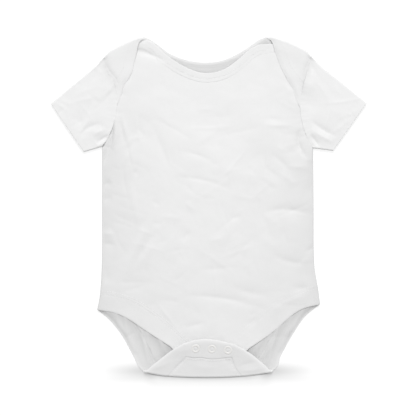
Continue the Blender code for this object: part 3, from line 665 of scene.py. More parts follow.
armhole = side_curves(ARMHOLE)
side_seam = side_curves(SIDE_SEAM)
back_leg_edge = side_curves(BACK_LEG_EDGE)
front_leg_edge = side_curves(FRONT_LEG_EDGE)
crotch_edge = side_curves(CROTCH_EDGE)
flap_edge = on_sides(
    lambda side: path([*one_side(FLAP_EDGE, side), armhole[side](FLAP_TIP[side])])
)
crotch_fold = path(CROTCH_FOLD)
crossing = on_sides(lambda side: crotch_fold(FOLD_CROSSING[side]))
middle_fold = part_of(crotch_fold, *FOLD_CROSSING.values())
crotch_inner = on_sides(lambda side: path([crossing[side], *one_side(CROTCH_INNER, side)]))
shoulder_tip = on_sides(lambda side: armhole[side](0))
neck_point = on_sides(lambda side: flap_edge[side](0))
shoulder_fold = on_sides(
    lambda side: path([neck_point[side], *one_side(SHOULDER_FOLD, side), shoulder_tip[side]])
)
seam_lines = side_lines(side_seam)
shoulder_lines = side_lines(shoulder_fold)
armhole_lines = side_lines(armhole)
flank_lines = on_sides(lambda side: np.vstack([armhole_lines[side], seam_lines[side][1:]]))
cap_lines = on_sides(lambda side: sampled(part_of(armhole[side], 0, CAP_SHARE), 20))
fold_line = sampled(crotch_fold)
leg_lines = side_lines(back_leg_edge)
hem_lines = side_lines(front_leg_edge)


def band_top(side):
    """Where the leg band ends on the side seam."""
    return 1 - LEG_BAND / length_of(seam_lines[side])


def leg_inner(side, points):
    return path([side_seam[side](band_top(side)), *points])


back_leg_inner = on_sides(
    lambda side: leg_inner(side, [*one_side(BACK_LEG_INNER, side), crossing[side]])
)
front_leg_inner = on_sides(lambda side: leg_inner(side, one_side(FRONT_LEG_INNER, side)))


def band_crossing(side):
    """The length of the shoulder fold that the neck band takes where it crosses it."""
    edge = flap_edge[side](POINT_SHARE) - neck_point[side]
    fold = shoulder_fold[side](POINT_SHARE) - neck_point[side]
    cross = edge[0] * fold[1] - edge[1] * fold[0]
    return NECK_BAND * np.linalg.norm(edge) * np.linalg.norm(fold) / abs(cross)


corner_share = on_sides(lambda side: band_crossing(side) / length_of(shoulder_lines[side]))
fold_corner = on_sides(lambda side: shoulder_fold[side](corner_share[side]))
band_fold = on_sides(lambda side: part_of(shoulder_fold[side], 0, corner_share[side]))
panel_fold = on_sides(lambda side: part_of(shoulder_fold[side], 1, corner_share[side]))


def flap_inner(side):
    """Inner edge of the neck band on a shoulder flap."""
    offset = inset(one_side(FLAP_EDGE, side), NECK_BAND * INWARD[side])
    middle = offset[2:5]  # the others lie too near the fold and the armhole
    return path([fold_corner[side], *middle, armhole[side](FLAP_TIP_SHARE)])


def neck_inner(table, ends):
    return path([ends["left"], *inset(table, NECK_BAND)[1:-1], ends["right"]])


def hidden_corner(side):
    """Where the front's neck band ends, inside the shoulder fold."""
    end = np.array(FRONT_NECK[0 if side == "left" else -1])
    run = shoulder_tip[side] - neck_point[side]
    return end + run / np.linalg.norm(run) * band_crossing(side)


flap_inners = on_sides(flap_inner)
back_neck = path(BACK_NECK)
neck_line = sampled(back_neck)
front_neck = path(FRONT_NECK)
front_corner = on_sides(hidden_corner)
back_neck_inner = neck_inner(BACK_NECK, fold_corner)
front_neck_inner = neck_inner(FRONT_NECK, front_corner)
placket_top, placket_low = path(PLACKET_TOP), path(PLACKET_LOW)


# ---------------------------------------------------------------- heights of the layers


def smooth(value):
    value = np.clip(value, 0, 1)
    return value * value * (3 - 2 * value)


def ramp(value, start, run):
    """0 up to the start and 1 from a run past it, or the other way round if the run is negative."""
    return smooth((value - start) / run)


def turned(reach, radius):
    """0 at a closed edge, 1 a radius inside it, along a quarter circle."""
    return np.sqrt(1 - (1 - np.clip(reach / radius, 0, 1)) ** 2)


def bump(distance, width):
    return np.exp(-((distance / width) ** 2))


def lower(reach, radius, gap=0.0):
    """Height of the under layer near a closed edge."""
    return (radius - gap / 2) * (1 - turned(reach, radius * ROLL_WIDTH))


def upper(reach, radius, gap=0.0):
    """Height of the upper layer near a closed edge."""
    return radius + gap / 2 + (radius - gap / 2) * turned(reach, radius * ROLL_WIDTH)


def crest(distance, width):
    """1 on a crease's line, falling on both sides: a sharp fold with a slightly rounded top."""
    return np.exp((CREST_ROUND - np.hypot(distance, CREST_ROUND)) / width)


def folds(table, points):
    """What the creases add at each point: a soft ridge or trough along a bowed line."""
    total = np.zeros(len(points))
    for x0, y0, x1, y1, bow, width, rise in table:
        start, run = np.array((x0, y0)), np.array((x1 - x0, y1 - y0))
        offset = points - start
        share = np.clip(offset @ run / (run @ run), 0, 1)
        aside = (offset[:, 0] * run[1] - offset[:, 1] * run[0]) / np.linalg.norm(run)
        arch = np.sin(math.pi * share)
        total += rise * arch * crest(aside - bow * arch, width)
    return total * bpy.context.scene.bodysuit.crease_depth


def minor_creases(seed, count, left, low, right, high):
    """Rows for many faint short creases, scattered over a box in plan."""
    rng = np.random.default_rng(seed)
    rows = []
    for _ in range(count):
        x, y = rng.uniform(left, right), rng.uniform(low, high)
        turn, length = rng.uniform(0, math.pi), rng.uniform(*MINOR_LENGTH)
        ends = x, y, x + length * math.cos(turn), y + length * math.sin(turn)
        rise = rng.choice((-1, 1)) * rng.uniform(*MINOR_RISE)
        rows.append((*ends, rng.uniform(*MINOR_BOW), rng.uniform(*MINOR_WIDTH), rise))
    return rows


def make_waves():
    """Many low waves of cloth that lies loose, one row each: their way, phase and rise."""
    rng = np.random.default_rng(WAVE_SEED)
    length = np.geomspace(WAVE_LONGEST, WAVE_SHORTEST, WAVES)
    turn = rng.uniform(0, math.tau, WAVES)
    ways = np.stack([np.cos(turn), np.sin(turn)]) * math.tau / length
    return ways, rng.uniform(0, math.tau, WAVES), WAVE_SLOPE * length**WAVE_POWER


# The small ones: a seed, how many there are and their box in plan
front_creases = [*FRONT_CREASES, *minor_creases(5, 150, -116, -110, 116, 140)]
sleeve_creases = {
    "left": [*SLEEVE_CREASES["left"], *minor_creases(6, 30, -170, 65, -112, 150)],
    "right": [*SLEEVE_CREASES["right"], *minor_creases(7, 30, 112, 65, 170, 150)],
}
back_creases = [*BACK_CREASES, *minor_creases(8, 70, -116, -160, 116, 170)]
waves = make_waves()


def undulation(points):
    ways, phases, rises = waves
    total = np.sin(points @ ways + phases) @ rises
    return total * bpy.context.scene.bodysuit.crease_depth


def seam_valley(points, curves, sink=SEAM_SINK):
    """The valley along each seam, and the ripples that its stitches gather beside it."""
    total = np.zeros(len(points))
    for curve in curves:
        away, along = near(points, sampled(curve))
        phase = math.tau * along / PUCKER_WAVE
        ripple = np.sin(phase + PUCKER_DRIFT * np.sin(phase * PUCKER_CHANGE)) * PUCKER
        total += ripple * np.exp(-away / PUCKER_REACH) - sink * bump(away, SEAM_REACH)
    return total


def cap_valley(points, side, reach=CAP_SINK_REACH):
    """The soft deep part of an armhole's valley, from the shoulder down, and at the armpit."""
    away, along = near(points, armhole_lines[side])
    fade = ramp(along, *CAP_SINK_RAMPS[side])
    low = smooth(1 - (length_of(armhole_lines[side]) - along) / ARMPIT_RUN)
    pit = ARMPIT_SINK * bump(away, ARMPIT_REACH) * low
    return -CAP_SINK[side] * bump(away, reach) * fade - pit


def back_height(points):
    """The under side's outer face. It only ever rises from the table."""
    seam = closest(points, seam_lines.values())
    shoulder = closest(points, shoulder_lines.values())
    fold = near(points, fold_line)[0]
    reach = np.min([seam, shoulder, fold], axis=0)
    rolled = np.maximum(lower(seam, SIDE_ROLL, SEAM_GAP), lower(shoulder, SHOULDER_ROLL))
    rolled = np.maximum(rolled, lower(fold, CROTCH_ROLL))
    collar = NECK_LIFT * (1 - ramp(near(points, neck_line)[0], *NECK_LIFT_RAMP))
    hem = LEG_LIFT * np.exp(-closest(points, hem_lines.values()) / LEG_LIFT_REACH)
    hem *= smooth(closest(points, leg_lines.values()) / LIFT_CLEAR) * smooth(reach / LIFT_CLEAR)
    spots = [np.linalg.norm(points - spot, axis=1) for spot in POINT_SPOTS]
    point = POINT_LIFT * bump(np.min(spots, axis=0), POINT_LIFT_REACH)
    loose = np.maximum(folds(back_creases, points), 0) * smooth(reach / FOLD_CLEAR)
    return np.maximum(rolled, collar + point) + hem + loose


def body_swell(points):
    """The air under the front: full in the middle, none at the neck, sides and crotch."""
    rise = BODY_SWELL * ramp(points[:, 1], *NECK_SWELL_RAMP)
    rise *= ramp(points[:, 1], *CROTCH_SWELL_RAMP)
    for side in SIDES:
        share = np.minimum(near(points, flank_lines[side])[0] / SWELL_REACH[side], 1)
        rise *= np.sin(math.pi / 2 * share)
    return rise


def left_fall(points, reach):
    """How far the front slopes down towards its left side seam."""
    low, high = (ramp(points[:, 1], *each) for each in LEFT_FALL_RAMPS)
    fall = LEFT_FALL * (low * high) * (1 - smooth(reach / LEFT_FALL_REACH))
    return fall * turned(reach, SIDE_ROLL)


def flap_press(points):
    """The groove that the shoulder flaps' free edges press into the front, unevenly deep."""
    total = np.zeros(len(points))
    for side in SIDES:
        line = sampled(flap_edge[side])
        away, along = near(points, line)
        uneven = 1 + FLAP_PRESS_UNEVEN * np.sin(along / FLAP_PRESS_WAVE) * (side == "left")
        uneven = uneven + 1 - smooth(along / POINT_RUN)
        fade = ramp(length_of(line) - along, *FLAP_PRESS_RAMP)
        total += FLAP_PRESS * uneven * fade * bump(away, FLAP_PRESS_REACH)
    return total


def front_height(points):
    reaches = on_sides(lambda side: near(points, seam_lines[side])[0])
    reach = np.minimum(*reaches.values())
    loose = folds(front_creases, points) + undulation(points)
    loose = loose * smooth(reach / FOLD_CLEAR) - left_fall(points, reaches["left"])
    return upper(reach, SIDE_ROLL, SEAM_GAP) + body_swell(points) + loose - flap_press(points)


def shoulder_flap_height(points):
    reach = closest(points, shoulder_lines.values())
    settle = FLAP_SETTLE * ramp(reach, *FLAP_SETTLE_RAMP)
    settle += TIP_SETTLE * ramp(points[:, 1], *TIP_SETTLE_RAMP)
    loose = FLAP_WAVES * undulation(points) * ramp(reach, *FLAP_WAVES_RAMP)
    return upper(reach, SHOULDER_ROLL) - settle + loose


def crotch_flap_height(points):
    reach = near(points, fold_line)[0]
    low, high = CROTCH_SLOPES
    steep = np.maximum(reach - CROTCH_BEND, 0)
    rise = low * np.maximum(reach - CROTCH_ROLL, 0) + (high - low) * steep
    return upper(reach, CROTCH_ROLL) + rise + folds(CROTCH_CREASES, points)


def placket_height(points):
    """The crotch flap with a ring pressed into it and cloth swelling through each hole."""
    height = crotch_flap_height(points)
    for spot in SNAPS:
        away = np.linalg.norm(points - spot, axis=1)
        height -= SNAP_PRESS * smooth((SNAP_RADIUS + SNAP_PRESS_RUN - away) / SNAP_PRESS_RUN)
        height += (SNAP_DOME + SNAP_PRESS) * smooth((SNAP_HOLE - away) / SNAP_DOME_RUN)
    return height


def sleeve_hole(side):
    """The sleeve's own armhole edge, from the armpit up, a seam's gap or two outside the body's."""
    hole = backwards(armhole[side])

    def at(share):
        share = np.asarray(share, float)
        shift = INWARD[side] * SEAM_GAP * (1 + share**6)
        return hole(share) - np.stack([shift, np.zeros_like(shift)], axis=-1)

    return at


def sleeve_folds(side):
    """The closed edges of a sleeve, from armhole to cuff: under the arm and above it."""
    hole = sleeve_hole(side)
    under = path([hole(0), *one_side(CUFF_UNDER, side)])
    above = path([hole(1), *one_side(SLEEVE_SAG, side), *one_side(CUFF_TOP, side)])
    return under, above


def sleeve_height(points, side, facing, reach):
    """The under or the upper face of a sleeve, at points this far from its closed edges."""
    cap = bump(near(points, cap_lines[side])[0], CAP_REACH)
    radius = SIDE_ROLL + (SLEEVE_CAP_ROLL - SIDE_ROLL) * cap
    if facing < 0:
        return lower(reach, radius)
    loose = folds(sleeve_creases[side], points) + SLEEVE_WAVES * undulation(points)
    swell = SLEEVE_SWELL * smooth(reach / SLEEVE_SWELL_REACH)
    return upper(reach, radius) + swell + loose * smooth(reach / FOLD_CLEAR)


# ---------------------------------------------------------------- painted shading and grids

# Grids of a layer's places, walls, knit coordinates, painted shading of its face and of its inner
# side, and its facing: 1 up, -1 down
Layer = namedtuple("Layer", "place wall weave facing tone inside")
# A band's width and wall, the rise of its face, its edge's rounding, stitch rows and seam depth
Band = namedtuple("Band", "width wall crown rim grooves sink")


def painted_seam_shade(points):
    """Painted shade beside the armhole at the shoulder, where the seam's valley is, as a factor on
    the colour.
    """
    seam_shade = 0
    for line in armhole_lines.values():
        away, along = near(points, line)
        seam_shade = seam_shade + PAINTED_SEAM_SHADE * bump(away, PAINTED_SEAM_SHADE_REACH) * ramp(along, *PAINTED_SEAM_SHADE_RAMP)
    return 1 - seam_shade


def painted_shades(plan, facing):
    """Painted shading of a layer's face and of its inner side: painted shade towards the side folds
    and in the armholes' seam valleys, and painted shade on the inner side.
    """
    points, shape = plan.reshape(-1, 2), plan.shape[:2]
    # Inner side: painted shade, and a painted shadow near the front's hems
    inside = PAINTED_INSIDE_SHADE - PAINTED_HEM_SHADOW * np.exp(-closest(points, hem_lines.values()) / PAINTED_HEM_SHADOW_REACH)
    if facing < 0:
        return np.ones(shape), inside.reshape(shape)
    reach = closest(points, seam_lines.values())
    # Face: painted shade in the seam valleys and along the side folds
    face = painted_seam_shade(points) - sum(depth * np.exp(-reach / width) for depth, width in PAINTED_SIDE_SHADES)
    return face.reshape(shape), inside.reshape(shape)


def coons(bottom, top, left, right):
    """A patch in plan between four curves, as a function of its column and row shares."""

    def at(u, v):
        across, along = u[..., None], v[..., None]
        ruled = bottom(u) * (1 - along) + top(u) * along
        ruled = ruled + left(v) * (1 - across) + right(v) * across
        low = bottom(0) * (1 - across) + bottom(1) * across
        return ruled - low * (1 - along) - (top(0) * (1 - across) + top(1) * across) * along

    return at


def strip(edge, inner, width, start=None, end=None):
    """A band in plan between its free edge and its inner edge, a seam's gap short of it."""
    start = start or straight(edge(0), inner(0))
    end = end or straight(edge(1), inner(1))
    patch = coons(edge, inner, start, end)
    reach = 1 - SEAM_GAP / width
    return lambda u, v: patch(u, v * reach)


def graded(length, spots=(), fine=FINE, coarse=COARSE):
    """Shares along a length, close together at the spots."""
    marks = [0.0]
    while marks[-1] < length:
        gap = min([abs(marks[-1] - spot) for spot in spots], default=length)
        marks.append(marks[-1] + min(coarse, fine + GRID_GROWTH * gap))
    return np.array(marks) / marks[-1]


def join_shares(*runs):
    """Shares of several stretches end to end: each run is (shares within it, its end)."""
    marks = [np.zeros(1)]
    for shares, end in runs:
        start = marks[-1][-1]
        marks.append(start + (end - start) * shares[1:])
    return np.concatenate(marks)


SIDE_MARKS = graded(SHOULDER_RUN, [0])
MIDDLE_MARKS = graded(MIDDLE_RUN)
BODY_COLUMNS = join_shares(
    (SIDE_MARKS, BREAKS[0]), (MIDDLE_MARKS, BREAKS[1]), (1 - SIDE_MARKS[::-1], 1)
)


def body_rows(fine=FINE):
    """Shares up a body panel, along its side seam and then its armhole."""
    seam, hole = graded(SIDE_RUN, [0], fine), graded(ARMHOLE_RUN, [ARMHOLE_RUN], fine)
    return join_shares((seam, ARMPIT_SHARE), (hole, 1))


def lay(patch, columns, rows, height, facing, wall, grain=0.0):
    """A layer of plain cloth, with its knit turned by grain degrees."""
    u, v = np.meshgrid(columns, rows)
    plan = patch(u, v)
    place = np.dstack([plan, height(plan.reshape(-1, 2)).reshape(u.shape)])
    turn = math.radians(grain)
    way = np.array(((math.cos(turn), -math.sin(turn)), (math.sin(turn), math.cos(turn))))
    return Layer(place, np.full(u.shape, wall / MM), plan @ way, facing, *painted_shades(plan, facing))


def lay_band(patch, columns, rows, height, facing, band, inside=None, fade=1.0):
    """A layer of a band: a rounded free edge, a rounded sewn edge and channels at its stitches.

    inside is the distance from the free edge at which the band's inner face ends, as a fold does.
    fade scales the seam and the channels, column by column.
    """
    u, v = np.meshgrid(columns, rows)
    plan = patch(u, v)
    across = v * band.width
    full = turned(across, band.rim)
    crown = band.crown * fade if facing > 0 else 0
    seam = (1 - turned(band.width - across, SEAM_ROUND)) * (band.sink * fade + crown)
    wall = band.wall / MM
    drop = (1 - full) * wall / 2 + seam
    for groove in band.grooves:
        drop += STITCH_SINK * fade * bump(across - groove, STITCH_REACH)
    if inside:
        sewn = smooth((across - inside) / TURN_RUN + 0.5)
    else:
        sewn = smooth((across - band.width + PANEL_WALL_RUN) / PANEL_WALL_RUN)
    thick = np.maximum(wall * full - seam - (wall - PANEL_WALL) * sewn, LEAST_WALL)
    base = height(plan.reshape(-1, 2)).reshape(u.shape)
    place = np.dstack([plan, base + facing * (crown - drop)])
    steps = np.linalg.norm(np.diff(plan, axis=1), axis=2).cumsum(axis=1)
    along = np.concatenate([np.zeros((len(rows), 1)), steps], axis=1)
    tone, inner = painted_shades(plan, facing)
    # the inner side's painted shade fades out towards the band's free edge
    inner = 1 - (1 - inner) * smooth(across / PAINTED_SHADE_FADE)
    return Layer(place, thick, np.dstack([along, across]), facing, tone, inner)


# ---------------------------------------------------------------- meshes


def grid_cells(mesh, shape):
    """Adds a grid of this many rows and columns, and lists its vertices with theirs."""
    high, wide = shape[0] - 1, shape[1] - 1
    made = bmesh.ops.create_grid(mesh, x_segments=wide, y_segments=high, size=1)
    return [
        (vert, (round((vert.co.y + 1) / 2 * high), round((vert.co.x + 1) / 2 * wide)))
        for vert in made["verts"]
    ]


def add_layer(mesh, layer):
    """Lays a grid on the layer's outer face."""
    weave = mesh.verts.layers.float_vector["weave"]
    floats = mesh.verts.layers.float
    wall, tone, inside = floats["wall"], floats["tone"], floats["inside"]
    cells = grid_cells(mesh, layer.wall.shape)
    for vert, cell in cells:
        vert.co = layer.place[cell] * MM
        vert[weave] = (*(layer.weave[cell] * MM), 0)
        vert[wall] = layer.wall[cell] * MM
        vert[tone] = layer.tone[cell]
        vert[inside] = layer.inside[cell]
    faces = list({face for vert, _ in cells for face in vert.link_faces})
    for face in faces:
        face.normal_update()
    if sum(face.normal.z * face.calc_area() for face in faces) * layer.facing < 0:
        bmesh.ops.reverse_faces(mesh, faces=faces)


def add_object(name, mesh, finish):
    """Turns a finished bmesh into an object of the scene."""
    data = bpy.data.meshes.new(name)
    mesh.to_mesh(data)
    mesh.free()
    data.materials.append(finish)
    made = bpy.data.objects.new(name, data)
    bpy.context.scene.collection.objects.link(made)
    return made


def keep(name, mesh, finish, stands_for=()):
    """Makes a bmesh a piece that rides on the garment and stands for its CAD nodes."""
    made = add_object(name, mesh, finished(finish))
    made.data.shade_smooth()
    made.data.set_sharp_from_angle(angle=SHARP)
    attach(made, "root")
    if stands_for:
        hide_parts(*stands_for)
    return made


def cloth(name, layers, finish, stands_for):
    """A piece of cloth: its layers are welded at folds and extruded inwards by their wall."""
    mesh = bmesh.new()
    for attribute in ("weave", "inner"):
        mesh.verts.layers.float_vector.new(attribute)
    for attribute in ("wall", "tone", "inside"):
        mesh.verts.layers.float.new(attribute)
    for layer in layers:
        add_layer(mesh, layer)
    bmesh.ops.remove_doubles(mesh, verts=mesh.verts, dist=WELD * MM)
    mesh.normal_update()
    inner = mesh.verts.layers.float_vector["inner"]
    floats = mesh.verts.layers.float
    wall, tone, inside = floats["wall"], floats["tone"], floats["inside"]
    for vert in mesh.verts:
        vert[inner] = vert.co - vert.normal * vert[wall]
    made = bmesh.ops.extrude_face_region(mesh, geom=mesh.faces[:], use_keep_orig=True)
    for vert in made["geom"]:
        if isinstance(vert, bmesh.types.BMVert):
            vert.co = vert[inner]
            # the inner side takes its painted shade
            vert[tone] = vert[inside]
    bmesh.ops.recalc_face_normals(mesh, faces=mesh.faces[:])
    mesh.verts.layers.float_vector.remove(mesh.verts.layers.float_vector["inner"])
    piece = keep(name, mesh, finish, stands_for)
    return piece


# ---------------------------------------------------------------- materials


def linear(code):
    """An sRGB hex colour as linear RGBA."""
    parts = [int(code[k : k + 2], 16) / 255 for k in (1, 3, 5)]
    return (*(c / 12.92 if c <= 0.04045 else ((c + 0.055) / 1.055) ** 2.4 for c in parts), 1)


def add_node(tree, kind, settings=(), **links):
    """Adds a node, sets its properties and inputs, and links sockets to its inputs by name."""
    node = tree.nodes.new(kind)
    for key, value in dict(settings).items():
        if key in node.inputs:
            node.inputs[key].default_value = value
        else:
            setattr(node, key, value)
    for name, socket in links.items():
        tree.links.new(socket, node.inputs[name.replace("_", " ")])
    return node


def new_material(name, base, roughness, **more):
    """A material and its shader node, with the constants set on the shader's own sockets."""
    made = bpy.data.materials.new(name)
    made.use_nodes = True
    shader = made.node_tree.nodes["Principled BSDF"]
    shader.inputs["Base Color"].default_value = base
    shader.inputs["Roughness"].default_value = roughness
    for key, value in more.items():
        shader.inputs[key.replace("_", " ")].default_value = value
    made.diffuse_color = base
    return made, shader


FUZZ_SIZE = 1.6  # brushed fibres, in millimetres
CRINKLE_SIZE = 26  # the faint crinkles that washing leaves
CRINKLE_DEPTH = 0.5
CLOUD_SIZE = 22  # patches of slightly darker yarn
CLOUD_TONE = 0.965
WAVE_REPEAT = math.pi / 10  # a wave texture at scale 1 repeats after this much of its coordinate


def knitted(name, base, wale, course, depth):
    """Cotton knit: matt and slightly furry, with upright wales crossed by finer courses.

    wale and course are their spacing in metres. Brushed fibres give it a faint sheen and a colour
    that changes a little from place to place. Its colour is also scaled by the pieces'
    tone attribute, which holds painted shade and a painted highlight.
    """
    made, shader = new_material(
        name, base, 0.92, Specular_IOR_Level=0.25, Sheen_Weight=0.12, Sheen_Roughness=0.6
    )
    tree = made.node_tree
    weave = add_node(tree, "ShaderNodeAttribute", {"attribute_name": "weave"}).outputs["Vector"]
    wave = {"wave_type": "BANDS", "wave_profile": "SIN", "Detail": 1.0, "Detail Scale": 1.5}
    upright = {"bands_direction": "X", "Scale": WAVE_REPEAT / wale, "Distortion": 0.8}
    wales = add_node(tree, "ShaderNodeTexWave", {**wave, **upright}, Vector=weave)
    sideways = {"bands_direction": "Y", "Scale": WAVE_REPEAT / course, "Distortion": 1.2}
    courses = add_node(tree, "ShaderNodeTexWave", {**wave, **sideways}, Vector=weave)
    brushed = {"Scale": 1 / (FUZZ_SIZE * MM), "Detail": 3.0}
    fuzz = add_node(tree, "ShaderNodeTexNoise", brushed, Vector=weave)
    ribs = add_node(tree, "ShaderNodeMath", {"operation": "MULTIPLY_ADD"})
    ribs.inputs[1].default_value = 0.7
    tree.links.new(wales.outputs["Fac"], ribs.inputs[0])
    tree.links.new(courses.outputs["Fac"], ribs.inputs[2])
    height = add_node(tree, "ShaderNodeMath", {"operation": "ADD"})
    tree.links.new(ribs.outputs[0], height.inputs[0])
    tree.links.new(fuzz.outputs["Fac"], height.inputs[1])
    ridges = {"noise_type": "RIDGED_MULTIFRACTAL", "Scale": 1 / (CRINKLE_SIZE * MM)}
    shape = {"Detail": 2.5, "Roughness": 0.55, "Distortion": 0.8}
    crinkle = add_node(tree, "ShaderNodeTexNoise", {**ridges, **shape}, Vector=weave)
    crumpled = add_node(
        tree,
        "ShaderNodeBump",
        {"Strength": 0.5, "Distance": CRINKLE_DEPTH * MM},
        Height=crinkle.outputs["Fac"],
    )
    relief = add_node(
        tree,
        "ShaderNodeBump",
        {"Strength": 0.5, "Distance": depth},
        Height=height.outputs[0],
        Normal=crumpled.outputs["Normal"],
    )
    tree.links.new(relief.outputs["Normal"], shader.inputs["Normal"])
    uneven = {"Scale": 1 / (CLOUD_SIZE * MM), "Detail": 4.0}
    clouds = add_node(tree, "ShaderNodeTexNoise", uneven, Vector=weave)
    yarn = add_node(tree, "ShaderNodeMix", {"data_type": "RGBA"})
    colours = [socket for socket in yarn.inputs if socket.type == "RGBA"]
    colours[0].default_value = [c * CLOUD_TONE for c in base[:3]] + [1]
    colours[1].default_value = base
    tree.links.new(clouds.outputs["Fac"], yarn.inputs[0])
    mixed = next(socket for socket in yarn.outputs if socket.type == "RGBA")
    # Painted shade and a painted highlight, held per vertex, scale the base colour
    tone = add_node(tree, "ShaderNodeAttribute", {"attribute_name": "tone"}).outputs["Fac"]
    shaded_colour = add_node(tree, "ShaderNodeVectorMath", {"operation": "SCALE"}, Scale=tone)
    tree.links.new(mixed, shaded_colour.inputs[0])
    tree.links.new(shaded_colour.outputs[0], shader.inputs["Base Color"])
    return made


def finished(name):
    """Each finish is made once and shared by the pieces that wear it."""
    if name in bpy.data.materials:
        return bpy.data.materials[name]
    settings = bpy.context.scene.bodysuit
    if name == JERSEY:
        # Bleached cotton, combed and knitted fine: wales drawn at 1.1 mm so that they show
        return knitted(name, (*settings.cotton_colour, 1), 1.1 * MM, 0.9 * MM, 0.06 * MM)
    if name == RIB:
        # 1x1 rib of the same cotton, wales about 1.4 mm apart, running across the band
        return knitted(name, (*settings.rib_colour, 1), 1.4 * MM, 0.9 * MM, 0.10 * MM)
    if name == THREAD:
        # Twisted filament thread: smoother than the cloth, so it catches a little light
        made, shader = new_material(name, (*settings.thread_colour, 1), 0.55, Sheen_Weight=0.1)
        tree = made.node_tree
        place = add_node(tree, "ShaderNodeTexCoord").outputs["Object"]
        spun = {"bands_direction": "DIAGONAL", "Scale": WAVE_REPEAT / (0.5 * MM)}
        twist = add_node(tree, "ShaderNodeTexWave", spun, Vector=place)
        relief = add_node(
            tree,
            "ShaderNodeBump",
            {"Strength": 0.4, "Distance": 0.05 * MM},
            Height=twist.outputs["Fac"],
        )
        tree.links.new(relief.outputs["Normal"], shader.inputs["Normal"])
        return made
    # White enamel baked on brass: smooth and glossy, with very fine scuffs from washing
    made, shader = new_material(name, (*settings.snap_colour, 1), 0.28, IOR=1.5)
    tree = made.node_tree
    place = add_node(tree, "ShaderNodeTexCoord").outputs["Object"]
    scuffs = add_node(
        tree, "ShaderNodeTexNoise", {"Scale": 1 / (0.8 * MM), "Detail": 4.0}, Vector=place
    )
    gloss = add_node(
        tree,
        "ShaderNodeMapRange",
        {"To Min": 0.2, "To Max": 0.36},
        Value=scuffs.outputs["Fac"],
    )
    tree.links.new(gloss.outputs["Result"], shader.inputs["Roughness"])
    relief = add_node(
        tree,
        "ShaderNodeBump",
        {"Strength": 0.15, "Distance": 0.02 * MM},
        Height=scuffs.outputs["Fac"],
    )
    tree.links.new(relief.outputs["Normal"], shader.inputs["Normal"])
    return made


def light_table():
    """Opal acrylic lit from below, so that shade hardly shows on it, except where painted shadow
    dims its glow.
    """
    made, shader = new_material(
        "Opal acrylic", linear(TABLE_WHITE), 0.6, Emission_Color=(1, 1, 1, 1)
    )
    tree = made.node_tree
    # The glow attribute carries the painted shadow too
    glow = add_node(tree, "ShaderNodeAttribute", {"attribute_name": "glow"}).outputs["Fac"]
    tree.links.new(glow, shader.inputs["Emission Strength"])
    return made


def painted_table_shadow(points):
    """Painted shadow: how much less the table glows beside the crotch fold."""
    x, y = np.abs(points[:, 0]), points[:, 1]
    width = CONTACT_WIDTH * (1 + CONTACT_WIDER * ramp(x, *CONTACT_WIDER_RAMP))
    contact = PAINTED_CONTACT_SHADOW * bump(near(points, fold_line)[0], width)
    contact = contact * (1 - ramp(x, *CONTACT_END_RAMP))
    lobe = PAINTED_LOBE_SHADOW * np.clip((LOBE_END - x) / (LOBE_END - LOBE_FULL), 0, 1)
    lobe = lobe * bump(y - LOBE_MIDDLE, LOBE_WIDTH) * ramp(x, *LOBE_RAMP)
    rise, fall = TAIL_BEND_RAMPS
    top = TAIL_TOP + TAIL_BEND * ramp(x, *rise) * (1 - ramp(x, *fall))
    tail = PAINTED_TAIL_SHADOW * ramp(y, *TAIL_RAMP) * smooth((top - y) / TAIL_TOP_RUN)
    tail = tail * (1 - TAIL_THIN * ramp(x, *TAIL_THIN_RAMP)) * (1 - ramp(x, *TAIL_END_RAMP))
    return contact + lobe + tail


def make_table(glow):
    """A plane that holds its glow, less the painted shadow, as an attribute, its grid close where
    that changes.
    """
    columns = np.array([-4000, -1000, -300, *range(-160, 161, 2), 300, 1000, 4000], float)
    rows = np.concatenate([[-4000, -1000, -300], np.arange(-215, -155, 0.5), [0, 1000, 4000]])
    places = np.stack(np.meshgrid(columns, rows), axis=-1)
    glow_with_painted_shadow = glow - painted_table_shadow(places.reshape(-1, 2)).reshape(len(rows), len(columns))
    mesh = bmesh.new()
    shine = mesh.verts.layers.float.new("glow")
    for vert, cell in grid_cells(mesh, glow_with_painted_shadow.shape):
        vert.co = (*(places[cell] * MM), -TABLE_DEPTH * MM)
        vert[shine] = max(glow_with_painted_shadow[cell], 0)
    add_object("table", mesh, light_table())


# ---------------------------------------------------------------- panels


def body_side(side, top_share):
    """One side of a body panel: side seam from the leg band up, then the armhole."""
    seam = backwards(part_of(side_seam[side], 0, band_top(side)))
    hole = backwards(part_of(armhole[side], top_share, 1))
    return chain([seam, hole], [ARMPIT_SHARE])


